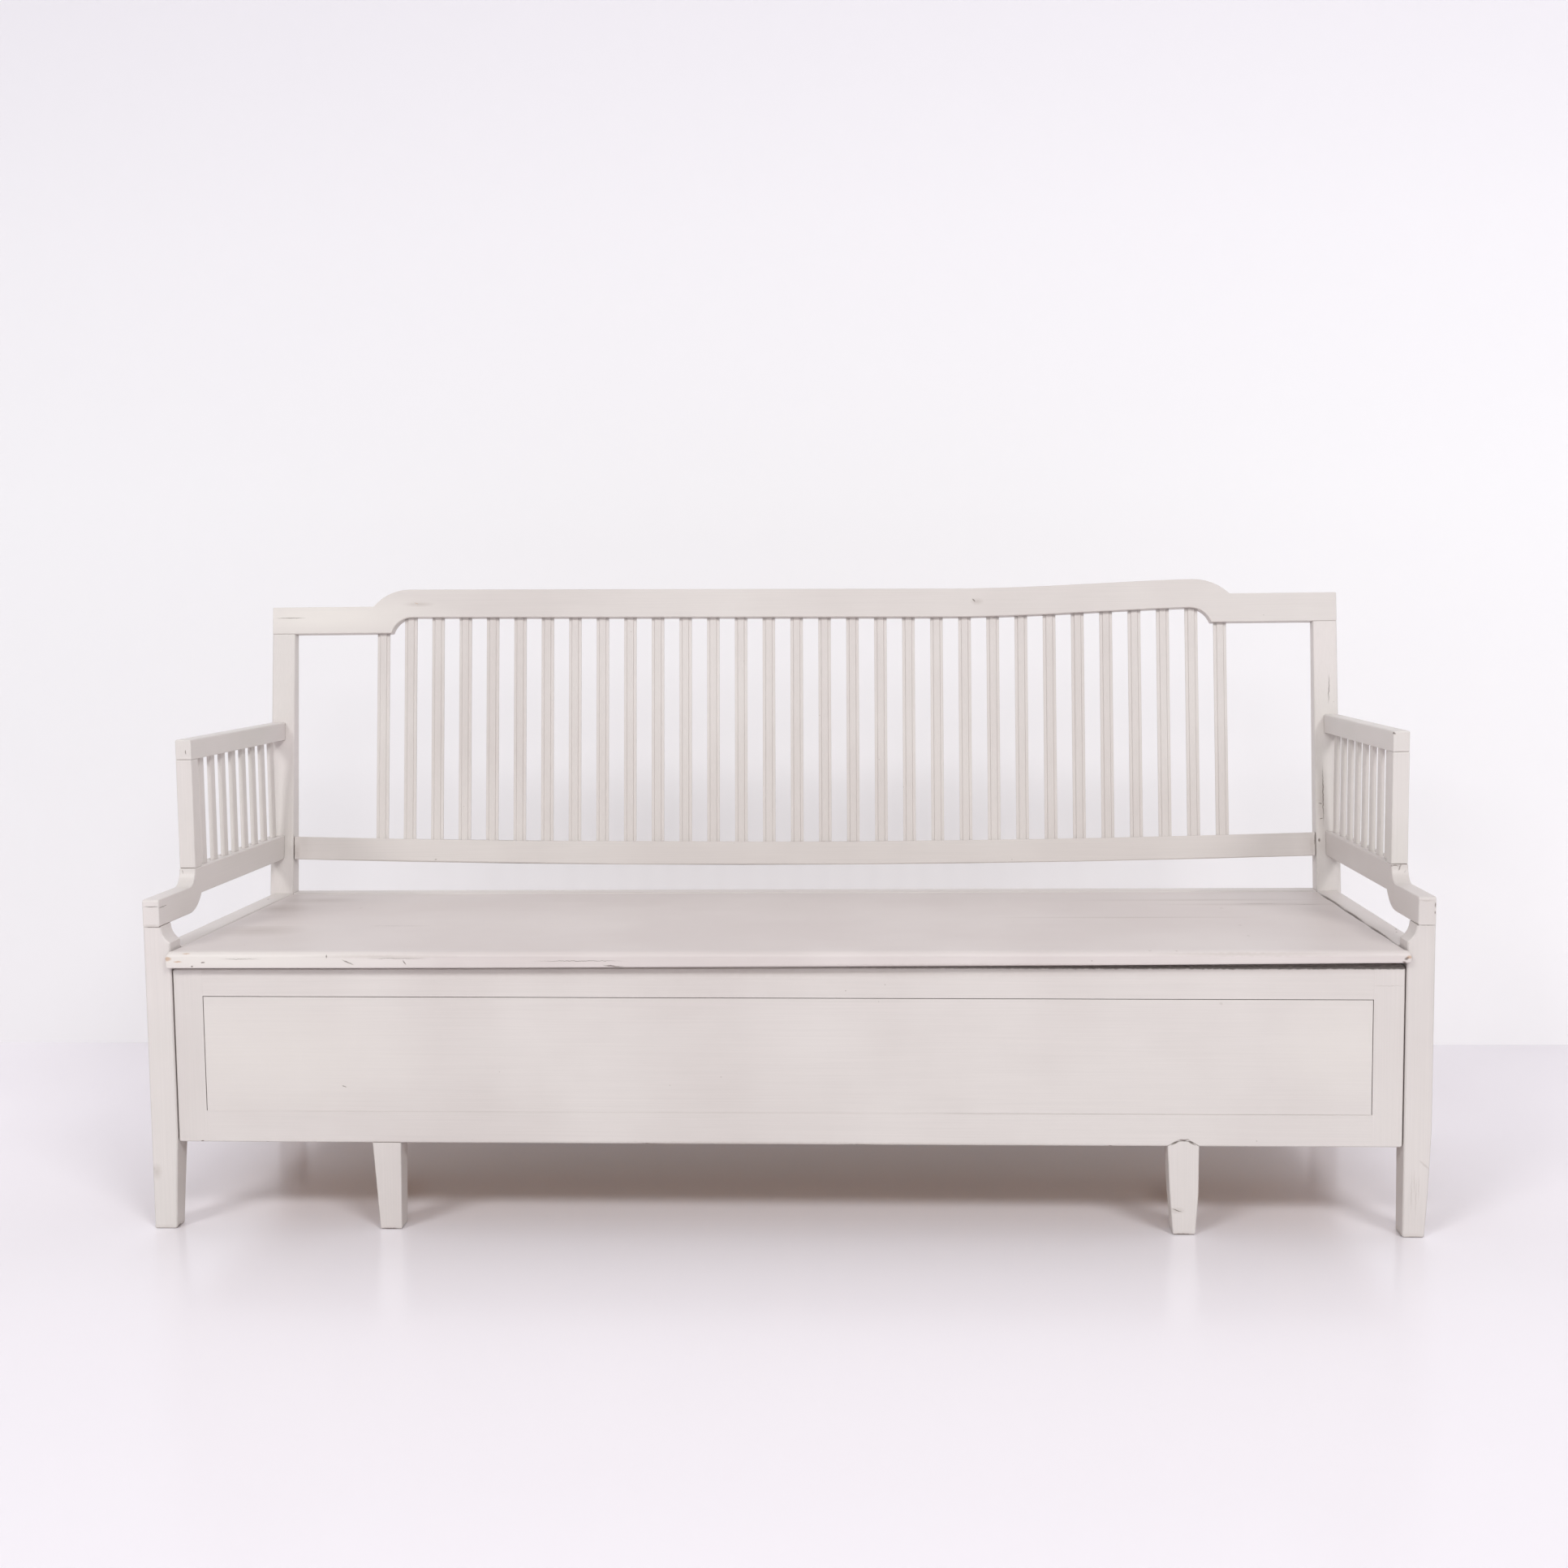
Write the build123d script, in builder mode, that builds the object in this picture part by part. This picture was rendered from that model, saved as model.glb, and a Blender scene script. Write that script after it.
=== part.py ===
from build123d import *
import os
from math import cos, radians, sin, sqrt, tan

os.makedirs("parts", exist_ok=True)

# Pull-out bench bed: a fixed sofa frame with slatted arms and back, a seat lid
# that swings up at the rear, and a deep drawer on two legs of its own that
# pulls forward to double the bed. X runs to the right, Y to the back, Z up.

# ---------------------------------------------------------------- main sizes
overall_width = 1950
half_width = overall_width / 2
seat_height = 437            # top of the closed lid
lid_thickness = 26
nose_overhang = 12           # lid ahead of the front posts
back_setback = 604           # front of the posts to the back's face, at the seat
rake = 7.9                   # lean of the back, degrees from upright
joint_gap = 0.2              # all round a housed tenon
arris = 1.2                  # edges eased with a plane and by paint
post_arris = 2
slide_gap = 5                # beside the drawer box

# ------------------------------------------------------------- back sizes,
# heights measured up the slope of the back from the seat
back_thickness = 24
crest_joint = 483            # underside of the crest's low ends
crest_depth = 52
crest_lift = 27              # the middle stands this much above the ends
crest_low_at = 237           # the old timber has settled, most to the right
crest_low_drop = 9.7         # below the left end of the raised middle
crest_climb_at = 520         # half way up to its right end
crest_climb_drop = 4.2
crest_right_rise = 2.7       # the right end stands higher than the left
crest_left_drop = 2          # the low left end, with the post under it
crest_left_depth = 50
crest_under_start = 751      # half length where the lower edge starts to rise
crest_under_run = 38
crest_top_start = 785
crest_top_run = 67
mid_rail_top = 105
mid_rail_depth = 42
mid_rail_sag = 13
mid_rail_inset = 1.5         # behind the face of the posts
mid_rail_thickness = 22
mid_rail_gap = 1             # open shoulder beside each post
mid_tenon = 24               # length into each rear post
mid_tenon_height = 21
mid_tenon_thickness = 12

slat_count = 31
slat_pitch = 51.2
slat_width = 23
slat_thickness = 8
slat_step = 2                # raised middle band above the side lands
slat_band = 11
slat_bevel = 1
slat_rear_bevel = 2.5
slat_housing = 10            # depth of each end in its mortise
slat_setback = 7             # from the rail's face to the slat's face

# ----------------------------------------------------------------- post sizes
post_width = 41
post_depth = 45
front_post_rise = 37         # above the seat
cove_radius = 30
cove_setback = 1.5           # edge of the cove inside the arm's inner face
peg_diameter = 14            # of the arm, in the top of the front post
peg_length = 18
peg_hole_depth = 20
foot_taper_height = 150      # the feet were tapered by hand, each its own way
foot_rear_taper_height = 130
left_foot_inner_taper = 6
left_foot_rear_taper = 11
right_foot_rear_taper = 4
right_foot_taper = 8.5       # its outer side was cut in two flats
right_foot_knee_taper = 3.9
right_foot_knee_height = 70
right_foot_taper_height = 165
foot_chamfer = 1.5
rear_post_width = 43
rear_leg_depth = 38
post_tenon = 30              # up into the crest
post_tenon_width = 26
post_tenon_thickness = 10

# ------------------------------------------------------------------ arm sizes
arm_thickness = 26
arm_step_depth = 42          # low front end, on top of the post
arm_step_length = 132
arm_rise_radius = 27
arm_low_depth = 43
arm_hook_start = 133         # lower edge turns up here
arm_hook_end = 185.5
arm_end_round = 4
stile_setback = 161
stile_depth = 30
arm_opening = 175.5          # between the two rails
arm_top_depth = 32.5
arm_top_round = 3
arm_slat_count = 8
arm_tenon = 12               # length into the rear post
arm_tenon_lap = 3            # starts inside the rail, whose end leans
arm_tenon_height = 22
arm_tenon_thickness = 10

# --------------------------------------------------------------- seat base
side_rail_width = 40
side_rail_height = 45
side_rail_round = 6
side_rail_inset = 3          # inside the outer face of the posts
side_tenon = 18              # length into each post
side_tenon_height = 28
side_tenon_width = 14
base_bottom = 150
side_board_thickness = 20
side_board_setback = 8       # inside the outer face of the side rail
side_board_groove = 8        # depth let into the side rail
rear_board_thickness = 18
rear_rail_height = 42
rear_rail_round = 5          # front upper arris, where the lid swings past
rear_tenon = 12              # length into each rear post
rear_tenon_height = 28
rear_tenon_thickness = 18
rear_tenon_setback = 4       # from the rear face of the leg
bottom_rail_height = 40
bottom_rail_thickness = 32
runner_height = 32
runner_width = 37
runner_end_gap = 2
runner_screw_count = 2
runner_screw_bite = 13       # into the side board
screw_diameter = 4
screw_head = 8
stop_height = 34
stop_length = 22
stop_reach = 14              # off the side board, and off the drawer's side
stop_drop = 9                # below the side rail
stop_post_gap = 2            # behind the front post

# ------------------------------------------------------------------- lid
lid_side_gap = 3             # to the side rails and posts
horn_lap = 9                 # the nose runs on in front of the posts
horn_gap = 2.5               # nose to post face
nose_round = 9
nose_under_round = 3
nose_thin_left = 0.3         # the nose's underside was planed away, more to the right
nose_thin_middle = 2
nose_thin_right = 7.8
nose_thin_depth = 45
horn_corner_round = 3
lid_front_board = 245
lid_rear_board = 125
board_joint = 0.3
hinge_gap = 1.5              # round rear edge to the fixed rear rail
pivot_diameter = 12
pivot_clearance = 0.05       # radial, in the side rail's hole
pivot_in_lid = 40
pivot_in_rail = 24
batten_width = 70
batten_thickness = 20
batten_spacing = 620
batten_start = 60            # from the front posts
batten_rear_gap = 57.5       # to the lid's rear edge
batten_chamfer = 4
dovetail_neck = 48           # of the batten's tongue, slid into the lid
dovetail_head = 54
dovetail_depth = 8

# ------------------------------------------------------------------ drawer
drawer_recess = 4            # face behind the faces of the posts
drawer_side_gap = 1.2        # between the front and each post
drawer_front_gap = 3.5       # under the lid, at the left
front_top_rise = 4           # the front's upper edge climbs to the right
drawer_bottom = 137
front_thickness = 22
stile_width = 45.5
front_arris = 1.5            # round the outer edge of the drawer's front
front_corner_round = 4
front_top_rail = 46.3
front_bottom_rail = 48.5
panel_left_rise = 4.5        # the panel stands higher at its left end
panel_gap = 0.9              # fine line round the flush panel
panel_thickness = 20
tongue_length = 8
tongue_thickness = 7
top_tenon_height = 22
bottom_tenon_height = 29
rail_tenon = 28              # length into each stile
drawer_side_thickness = 22
lid_rest_gap = 0.3     # the closed lid settles on the drawer's sides
runner_play = 0.2
drawer_rear_gap = 0.5
batten_pass_gap = 6          # the drawer's back passes under the lid's battens
catch_setback = 12           # from the rear end of the drawer's side
catch_play = 0.5
bearer_height = 22
bearer_width = 45
bearer_lift = 3              # above the lower edge of the drawer's back
bearer_side_gap = 82.5       # from the outer bearers to the drawer's sides
bearer_count = 5
bottom_board_thickness = 15
bottom_board_count = 4
leg_spacing = 608
left_leg_width = 44.2
left_leg_shift = 1.1         # towards the middle of the bench
right_leg_width = 46.8
right_leg_shift = 0.7        # away from the middle
leg_depth = 40
leg_rear_taper = 5
arch_rise = 8                # domed shoulder of the right leg
arch_gap = 0.8
leg_tenon = 30
leg_tenon_width = 21
leg_foot_chamfer = 2
left_outer_taper = 9         # the legs were tapered by hand too
left_inner_taper = 2.1
right_outer_taper = 4.8      # each side of the right one was cut in two flats
right_outer_knee_taper = 0.5
right_outer_knee_height = 62
right_inner_taper = 8.7
right_inner_knee_taper = 3.3
right_inner_knee_height = 68

# -------------------------------------------------------- derived positions
lean = radians(rake)
crest_high_top = crest_joint + crest_depth + crest_lift + crest_right_rise
reach = (back_setback + (crest_high_top - arris) * sin(lean)
         + back_thickness * cos(lean))
y_front = -(reach - nose_overhang) / 2     # faces of the front posts
y_nose = y_front - nose_overhang
y_back = y_front + back_setback            # the back's face at seat height
y_leg_rear = y_back + rear_leg_depth
lid_underside = seat_height - lid_thickness
front_post_height = seat_height + front_post_rise
arm_step_height = front_post_height + arm_step_depth
arm_low_top = arm_step_height + arm_rise_radius
arm_low_under = arm_low_top - arm_low_depth
arm_top_under = arm_low_top + arm_opening
arm_top_height = arm_top_under + arm_top_depth
drawer_top = lid_underside - drawer_front_gap
drawer_side_top = lid_underside - lid_rest_gap
batten_under = lid_underside - batten_thickness
drawer_back_top = batten_under - batten_pass_gap
arm_inner = half_width - arm_thickness
arm_centre = half_width - arm_thickness / 2
arm_low_mid = (arm_low_top + arm_low_under) / 2
arm_top_mid = (arm_top_height + arm_top_under) / 2
post_inner = half_width - post_width
rear_post_inner = half_width - rear_post_width
y_stile = y_front + stile_setback
y_stile_rear = y_stile + stile_depth
y_post_rear = y_front + post_depth
rail_outer = half_width - side_rail_inset
rail_inner = rail_outer - side_rail_width
rail_centre = rail_outer - side_rail_width / 2
side_rail_bottom = seat_height - side_rail_height
clear_half = min(rail_inner, post_inner, rear_post_inner)    # for lid and drawer box

back_plane = Plane(origin=(0, y_back, seat_height), x_dir=(1, 0, 0),
                   z_dir=(0, -cos(lean), sin(lean)))
slope_up = (0, sin(lean), cos(lean))


def y_of_back(height):
    """Y of the back's front face at a height above the floor."""
    return y_back + (height - seat_height) * tan(lean)


def crest_underside(x):
    """Lower edge of the crest's raised middle, up the slope."""
    flat = crest_under_start - crest_under_run
    level = crest_joint + crest_lift
    if x < crest_low_at:
        return level - crest_low_drop * (x + flat) / (crest_low_at + flat)
    if x < crest_climb_at:
        climbed = (x - crest_low_at) / (crest_climb_at - crest_low_at)
        return level - crest_low_drop + (crest_low_drop - crest_climb_drop) * climbed ** 2
    climbed = (x - crest_climb_at) / (flat - crest_climb_at)
    return level - crest_climb_drop + (crest_climb_drop + crest_right_rise) * climbed


def mid_rail_upper(x):
    """Upper edge of the middle rail, up the slope."""
    return mid_rail_top - mid_rail_sag * (1 - (x / rear_post_inner) ** 2)


# The one moulding of all slats: a raised band on its face, eased at the rear.
with BuildSketch() as slat_profile:
    with BuildLine():
        Polyline((-slat_width / 2, slat_thickness / 2 - slat_step),
                 (-slat_band / 2 - slat_bevel, slat_thickness / 2 - slat_step),
                 (-slat_band / 2, slat_thickness / 2),
                 (slat_band / 2, slat_thickness / 2),
                 (slat_band / 2 + slat_bevel, slat_thickness / 2 - slat_step),
                 (slat_width / 2, slat_thickness / 2 - slat_step),
                 (slat_width / 2, -slat_thickness / 2),
                 (-slat_width / 2, -slat_thickness / 2), close=True)
    make_face()
    rear_corners = slat_profile.vertices().group_by(Axis.Y)[0]
    chamfer(rear_corners, slat_rear_bevel)

# ================================================================ rear posts
# Leg and back upright sawn from one plank, leaning from the seat upwards.
left_joint = crest_joint - crest_left_drop
right_joint = crest_joint + crest_right_rise
rear_post_centre = half_width - rear_post_width / 2
rear_rail_centre = seat_height - rear_rail_height / 2
side_rail_mid = seat_height - side_rail_height / 2
rear_tenon_y = y_leg_rear - rear_tenon_setback - rear_tenon_thickness / 2
mid_tenon_up = mid_rail_top - mid_rail_depth / 2


def rear_post(side, joint):
    """One rear post up to the crest; side is 1 on the right and -1 on the left."""
    y_top_front = y_back + joint * sin(lean)
    z_top_front = seat_height + joint * cos(lean)
    y_top_rear = y_top_front + back_thickness * cos(lean)
    z_top_rear = z_top_front - back_thickness * sin(lean)
    with BuildPart() as post:
        with BuildSketch(Plane.YZ.offset(side * rear_post_inner)):
            with BuildLine():
                Polyline((y_back, 0), (y_back, seat_height), (y_top_front, z_top_front),
                         (y_top_rear, z_top_rear), (y_leg_rear, seat_height),
                         (y_leg_rear, 0), close=True)
            make_face()
        extrude(amount=side * rear_post_width)
        long_edges = (post.edges().filter_by_position(Axis.Z, 1, z_top_rear - 1)
                      .filter_by(Axis.X, reverse=True))
        chamfer(long_edges, post_arris)
        chamfer(post.edges().group_by(Axis.Z)[0], foot_chamfer)
        # tenon that the crest sits on
        with BuildSketch(back_plane.offset(-(back_thickness - post_tenon_thickness) / 2)):
            with Locations((side * rear_post_centre, joint + post_tenon / 2)):
                Rectangle(post_tenon_width, post_tenon)
        extrude(amount=-post_tenon_thickness)
        # mortise of the back's middle rail
        with BuildSketch(back_plane.offset(joint_gap - mid_rail_inset
                                           - (mid_rail_thickness - mid_tenon_thickness) / 2)):
            with Locations((side * (rear_post_inner + mid_tenon / 2), mid_tenon_up)):
                Rectangle(mid_tenon + 2 * joint_gap, mid_tenon_height + 2 * joint_gap)
        extrude(amount=-mid_tenon_thickness - 2 * joint_gap, mode=Mode.SUBTRACT)
        # mortise of the rear seat rail
        with Locations((side * (rear_post_inner + rear_tenon / 2), rear_tenon_y,
                        rear_rail_centre)):
            Box(rear_tenon + 2 * joint_gap, rear_tenon_thickness + 2 * joint_gap,
                rear_tenon_height + 2 * joint_gap, mode=Mode.SUBTRACT)
        # mortise of the side seat rail
        with Locations((side * rail_centre, y_back + side_tenon / 2, side_rail_mid)):
            Box(side_tenon_width + 2 * joint_gap, side_tenon + 2 * joint_gap,
                side_tenon_height + 2 * joint_gap, mode=Mode.SUBTRACT)
        # mortises of the two arm rails
        arm_mortise = arm_tenon + arm_tenon_lap + joint_gap
        for rail_mid in (arm_low_mid, arm_top_mid):
            mortise_end = y_of_back(rail_mid) + arm_tenon + joint_gap
            with Locations((side * arm_centre, mortise_end - arm_mortise / 2, rail_mid)):
                Box(arm_tenon_thickness + 2 * joint_gap, arm_mortise,
                    arm_tenon_height + 2 * joint_gap, mode=Mode.SUBTRACT)
    return post.part


rear_post_right = rear_post(1, right_joint)
rear_post_right.label = "rear_post_right"
export_step(rear_post_right, "parts/rear_post_right.step")

rear_post_left = rear_post(-1, left_joint)
rear_post_left.label = "rear_post_left"
export_step(rear_post_left, "parts/rear_post_left.step")

# =============================================================== front posts
# Square leg that runs up to the arm, coved on its inner side above the seat.
def front_post(side, outer_foot, inner_taper, rear_taper):
    """One front post; side is 1 on the right and -1 on the left.

    outer_foot holds the insets of the foot's outer side and their heights.
    """
    outer_line = [(side * (half_width - inset), height) for inset, height in outer_foot]
    with BuildPart() as post:
        with BuildSketch(Plane.XZ.offset(-y_front)):
            with BuildLine():
                Polyline((side * (post_inner + inner_taper), 0), *outer_line,
                         (side * half_width, front_post_height),
                         (side * post_inner, front_post_height),
                         (side * post_inner, foot_taper_height), close=True)
            make_face()
            with Locations((side * (arm_inner - cove_setback - cove_radius),
                            front_post_height)):
                Circle(cove_radius, mode=Mode.SUBTRACT)
        extrude(amount=-post_depth)
        # the rear of the foot is sawn away to a taper
        with BuildSketch(Plane.YZ.offset(-half_width)):
            with BuildLine():
                Polyline((y_post_rear, foot_rear_taper_height), (y_post_rear, 0),
                         (y_post_rear - rear_taper, 0), close=True)
            make_face()
        extrude(amount=overall_width, mode=Mode.SUBTRACT)
        long_edges = (post.edges().filter_by_position(Axis.Z, 1, front_post_height - 1)
                      .filter_by(Axis.Y, reverse=True).filter_by(Axis.X, reverse=True))
        chamfer(long_edges, post_arris)
        chamfer(post.edges().group_by(Axis.Z)[0], foot_chamfer)
        # mortise of the side seat rail
        with Locations((side * rail_centre, y_post_rear - side_tenon / 2, side_rail_mid)):
            Box(side_tenon_width + 2 * joint_gap, side_tenon + 2 * joint_gap,
                side_tenon_height + 2 * joint_gap, mode=Mode.SUBTRACT)
        # mortise in the top for the arm's peg
        with Locations((side * arm_centre, y_front + post_depth / 2, front_post_height)):
            Hole(radius=peg_diameter / 2 + joint_gap, depth=peg_hole_depth)
    return post.part


right_foot = ((right_foot_taper, 0), (right_foot_knee_taper, right_foot_knee_height),
              (0, right_foot_taper_height))
front_post_right = front_post(1, right_foot, 0, right_foot_rear_taper)
front_post_right.label = "front_post_right"
export_step(front_post_right, "parts/front_post_right.step")

front_post_left = front_post(-1, ((0, 0),), left_foot_inner_taper, left_foot_rear_taper)
front_post_left.label = "front_post_left"
export_step(front_post_left, "parts/front_post_left.step")

# ====================================================================== arms
# Slats of the arm stand edge-on to the front, evenly between stile and post.
slat_zone_mid = (arm_low_top + arm_top_under) / 2
arm_bay = y_of_back(slat_zone_mid) - y_stile_rear
arm_slat_gap = (arm_bay - arm_slat_count * slat_width) / (arm_slat_count + 1)
arm_slat_pitch = arm_slat_gap + slat_width
first_arm_slat = y_stile_rear + arm_slat_gap + slat_width / 2
arm_slat_stations = [first_arm_slat + i * arm_slat_pitch for i in range(arm_slat_count)]
slat_mortise_width = slat_width + 2 * joint_gap
slat_mortise_thickness = slat_thickness + 2 * joint_gap

# The lower arm rail is sawn in a step: low over the post, then it climbs in a
# hollow curve to the foot of the stile; its lower edge turns up in a hook.
hook_run = arm_hook_end - arm_hook_start
hook_rise = arm_low_under - front_post_height
hook_radius = (hook_run ** 2 + hook_rise ** 2) / (2 * hook_rise)
half_way = hook_run / 2
hook_mid = hook_radius - sqrt(hook_radius ** 2 - half_way ** 2)
rise_side = arm_rise_radius * (1 - sqrt(0.5))
with BuildPart() as arm_low_rail_right:
    with BuildSketch(Plane.YZ.offset(arm_inner)):
        with BuildLine():
            nose = Line((y_front, front_post_height), (y_front, arm_step_height - arm_end_round))
            cap = RadiusArc(nose @ 1, (y_front + arm_end_round, arm_step_height), arm_end_round)
            step = Line(cap @ 1, (y_front + arm_step_length, arm_step_height))
            rise = ThreePointArc(
                step @ 1,
                (y_front + arm_step_length + arm_rise_radius * sqrt(0.5),
                 arm_step_height + rise_side),
                (y_front + arm_step_length + arm_rise_radius,
                 arm_step_height + arm_rise_radius))
            top = Line(rise @ 1, (y_of_back(arm_low_top), arm_low_top))
            rear = Line(top @ 1, (y_of_back(arm_low_under), arm_low_under))
            under = Line(rear @ 1, (y_front + arm_hook_end, arm_low_under))
            hook = ThreePointArc(
                under @ 1,
                (y_front + arm_hook_start + half_way, front_post_height + hook_mid),
                (y_front + arm_hook_start, front_post_height))
            Line(hook @ 1, nose @ 0)
        make_face()
    extrude(amount=arm_thickness)
    chamfer(arm_low_rail_right.edges().filter_by(Axis.X, reverse=True), arris)
    # peg into the front post
    with Locations((arm_centre, y_front + post_depth / 2, front_post_height)):
        Cylinder(peg_diameter / 2, peg_length,
                 align=(Align.CENTER, Align.CENTER, Align.MAX))
    # tenon into the rear post
    tenon_mid = y_of_back(arm_low_mid) + (arm_tenon - arm_tenon_lap) / 2
    with Locations((arm_centre, tenon_mid, arm_low_mid)):
        Box(arm_tenon_thickness, arm_tenon + arm_tenon_lap, arm_tenon_height)
    for station in arm_slat_stations:
        with Locations((arm_centre, station, arm_low_top)):
            Box(slat_mortise_thickness, slat_mortise_width, 2 * (slat_housing + joint_gap),
                mode=Mode.SUBTRACT)
arm_low_rail_right.part.label = "arm_low_rail_right"
export_step(arm_low_rail_right.part, "parts/arm_low_rail_right.step")

with BuildPart() as arm_slats_right:
    for station in arm_slat_stations:
        with BuildSketch(Plane(origin=(arm_centre, station, arm_low_top - slat_housing),
                               x_dir=(0, -1, 0), z_dir=(0, 0, 1))):
            add(slat_profile.sketch)
    extrude(amount=arm_top_under - arm_low_top + 2 * slat_housing)
arm_slats_right.part.label = "arm_slats_right"
export_step(arm_slats_right.part, "parts/arm_slats_right.step")

with BuildPart() as arm_stile_right:
    with Locations((arm_centre, y_stile + stile_depth / 2, (arm_low_top + arm_top_under) / 2)):
        Box(arm_thickness, stile_depth, arm_top_under - arm_low_top)
    chamfer(arm_stile_right.edges(), arris)
arm_stile_right.part.label = "arm_stile_right"
export_step(arm_stile_right.part, "parts/arm_stile_right.step")

with BuildPart() as arm_top_rail_right:
    with BuildSketch(Plane.YZ.offset(arm_inner)):
        with BuildLine():
            Polyline((y_stile, arm_top_under), (y_stile, arm_top_height),
                     (y_of_back(arm_top_height), arm_top_height),
                     (y_of_back(arm_top_under), arm_top_under), close=True)
        make_face()
    extrude(amount=arm_thickness)
    upper_edges = arm_top_rail_right.edges().filter_by(Axis.Y).group_by(Axis.Z)[-1]
    fillet(upper_edges, arm_top_round)
    front_edges = arm_top_rail_right.edges().group_by(Axis.Y)[0]
    chamfer(front_edges, arris)
    for station in arm_slat_stations:
        with Locations((arm_centre, station, arm_top_under)):
            Box(slat_mortise_thickness, slat_mortise_width, 2 * (slat_housing + joint_gap),
                mode=Mode.SUBTRACT)
    tenon_mid = y_of_back(arm_top_mid) + (arm_tenon - arm_tenon_lap) / 2
    with Locations((arm_centre, tenon_mid, arm_top_mid)):
        Box(arm_tenon_thickness, arm_tenon + arm_tenon_lap, arm_tenon_height)
arm_top_rail_right.part.label = "arm_top_rail_right"
export_step(arm_top_rail_right.part, "parts/arm_top_rail_right.step")

with BuildPart() as arm_low_rail_left:
    mirror(arm_low_rail_right.part, about=Plane.YZ)
arm_low_rail_left.part.label = "arm_low_rail_left"
export_step(arm_low_rail_left.part, "parts/arm_low_rail_left.step")

with BuildPart() as arm_stile_left:
    mirror(arm_stile_right.part, about=Plane.YZ)
arm_stile_left.part.label = "arm_stile_left"
export_step(arm_stile_left.part, "parts/arm_stile_left.step")

with BuildPart() as arm_top_rail_left:
    mirror(arm_top_rail_right.part, about=Plane.YZ)
arm_top_rail_left.part.label = "arm_top_rail_left"
export_step(arm_top_rail_left.part, "parts/arm_top_rail_left.step")

with BuildPart() as arm_slats_left:
    mirror(arm_slats_right.part, about=Plane.YZ)
arm_slats_left.part.label = "arm_slats_left"
export_step(arm_slats_left.part, "parts/arm_slats_left.step")

# ====================================================================== back
half_run = (slat_count - 1) / 2
slat_stations = [(i - half_run) * slat_pitch for i in range(slat_count)]
slat_face = mid_rail_inset + slat_setback
slat_spans = []
for x in slat_stations:
    head = crest_underside(x)
    if abs(x) > crest_under_start:
        head = left_joint if x < 0 else right_joint
    slat_spans.append((x, mid_rail_upper(x) - slat_housing, head + slat_housing))

with BuildPart() as back_slats:
    for x, foot_end, head_end in slat_spans:
        foot_at = back_plane.from_local_coords(Vector(x, foot_end, -slat_face - slat_thickness / 2))
        with BuildSketch(Plane(origin=foot_at, x_dir=(-1, 0, 0), z_dir=slope_up)):
            add(slat_profile.sketch)
        extrude(amount=head_end - foot_end)
back_slats.part.label = "back_slats"
export_step(back_slats.part, "parts/back_slats.step")

# Middle rail, tenoned into the posts, its long edges settled in a shallow curve.
mid_rail_half = rear_post_inner - mid_rail_gap
with BuildPart() as back_middle_rail:
    with BuildSketch(back_plane.offset(-mid_rail_inset)):
        with BuildLine():
            upper = ThreePointArc((-mid_rail_half, mid_rail_top),
                                  (0, mid_rail_top - mid_rail_sag),
                                  (mid_rail_half, mid_rail_top))
            drop = Line(upper @ 1, (mid_rail_half, mid_rail_top - mid_rail_depth))
            lower = ThreePointArc(drop @ 1,
                                  (0, mid_rail_top - mid_rail_depth - mid_rail_sag),
                                  (-mid_rail_half, mid_rail_top - mid_rail_depth))
            Line(lower @ 1, upper @ 0)
        make_face()
    extrude(amount=-mid_rail_thickness)
    chamfer(back_middle_rail.edges(), arris)
    with BuildSketch(back_plane.offset(-mid_rail_inset
                                       - (mid_rail_thickness - mid_tenon_thickness) / 2)):
        with Locations((rear_post_inner, mid_tenon_up), (-rear_post_inner, mid_tenon_up)):
            Rectangle(2 * mid_tenon, mid_tenon_height)
    extrude(amount=-mid_tenon_thickness)
    for x, foot_end, head_end in slat_spans:
        with BuildSketch(back_plane.offset(-slat_face + joint_gap)):
            with Locations((x, foot_end + slat_housing)):
                Rectangle(slat_mortise_width, 2 * (slat_housing + joint_gap))
        extrude(amount=-slat_mortise_thickness, mode=Mode.SUBTRACT)
back_middle_rail.part.label = "back_middle_rail"
export_step(back_middle_rail.part, "parts/back_middle_rail.step")

# Crest: low ends on the posts, a quarter curve up to a long raised middle.
high_under = crest_joint + crest_lift
high_top = high_under + crest_depth
left_low_top = left_joint + crest_left_depth
right_low_top = right_joint + crest_depth
under_flat = crest_under_start - crest_under_run
top_flat = crest_top_start - crest_top_run


def curve_middle(level, run, rise):
    """Height half way along an arc that climbs by rise and levels out at level."""
    radius = (run ** 2 + rise ** 2) / (2 * rise)
    return level - radius + sqrt(radius ** 2 - (run / 2) ** 2)


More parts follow.
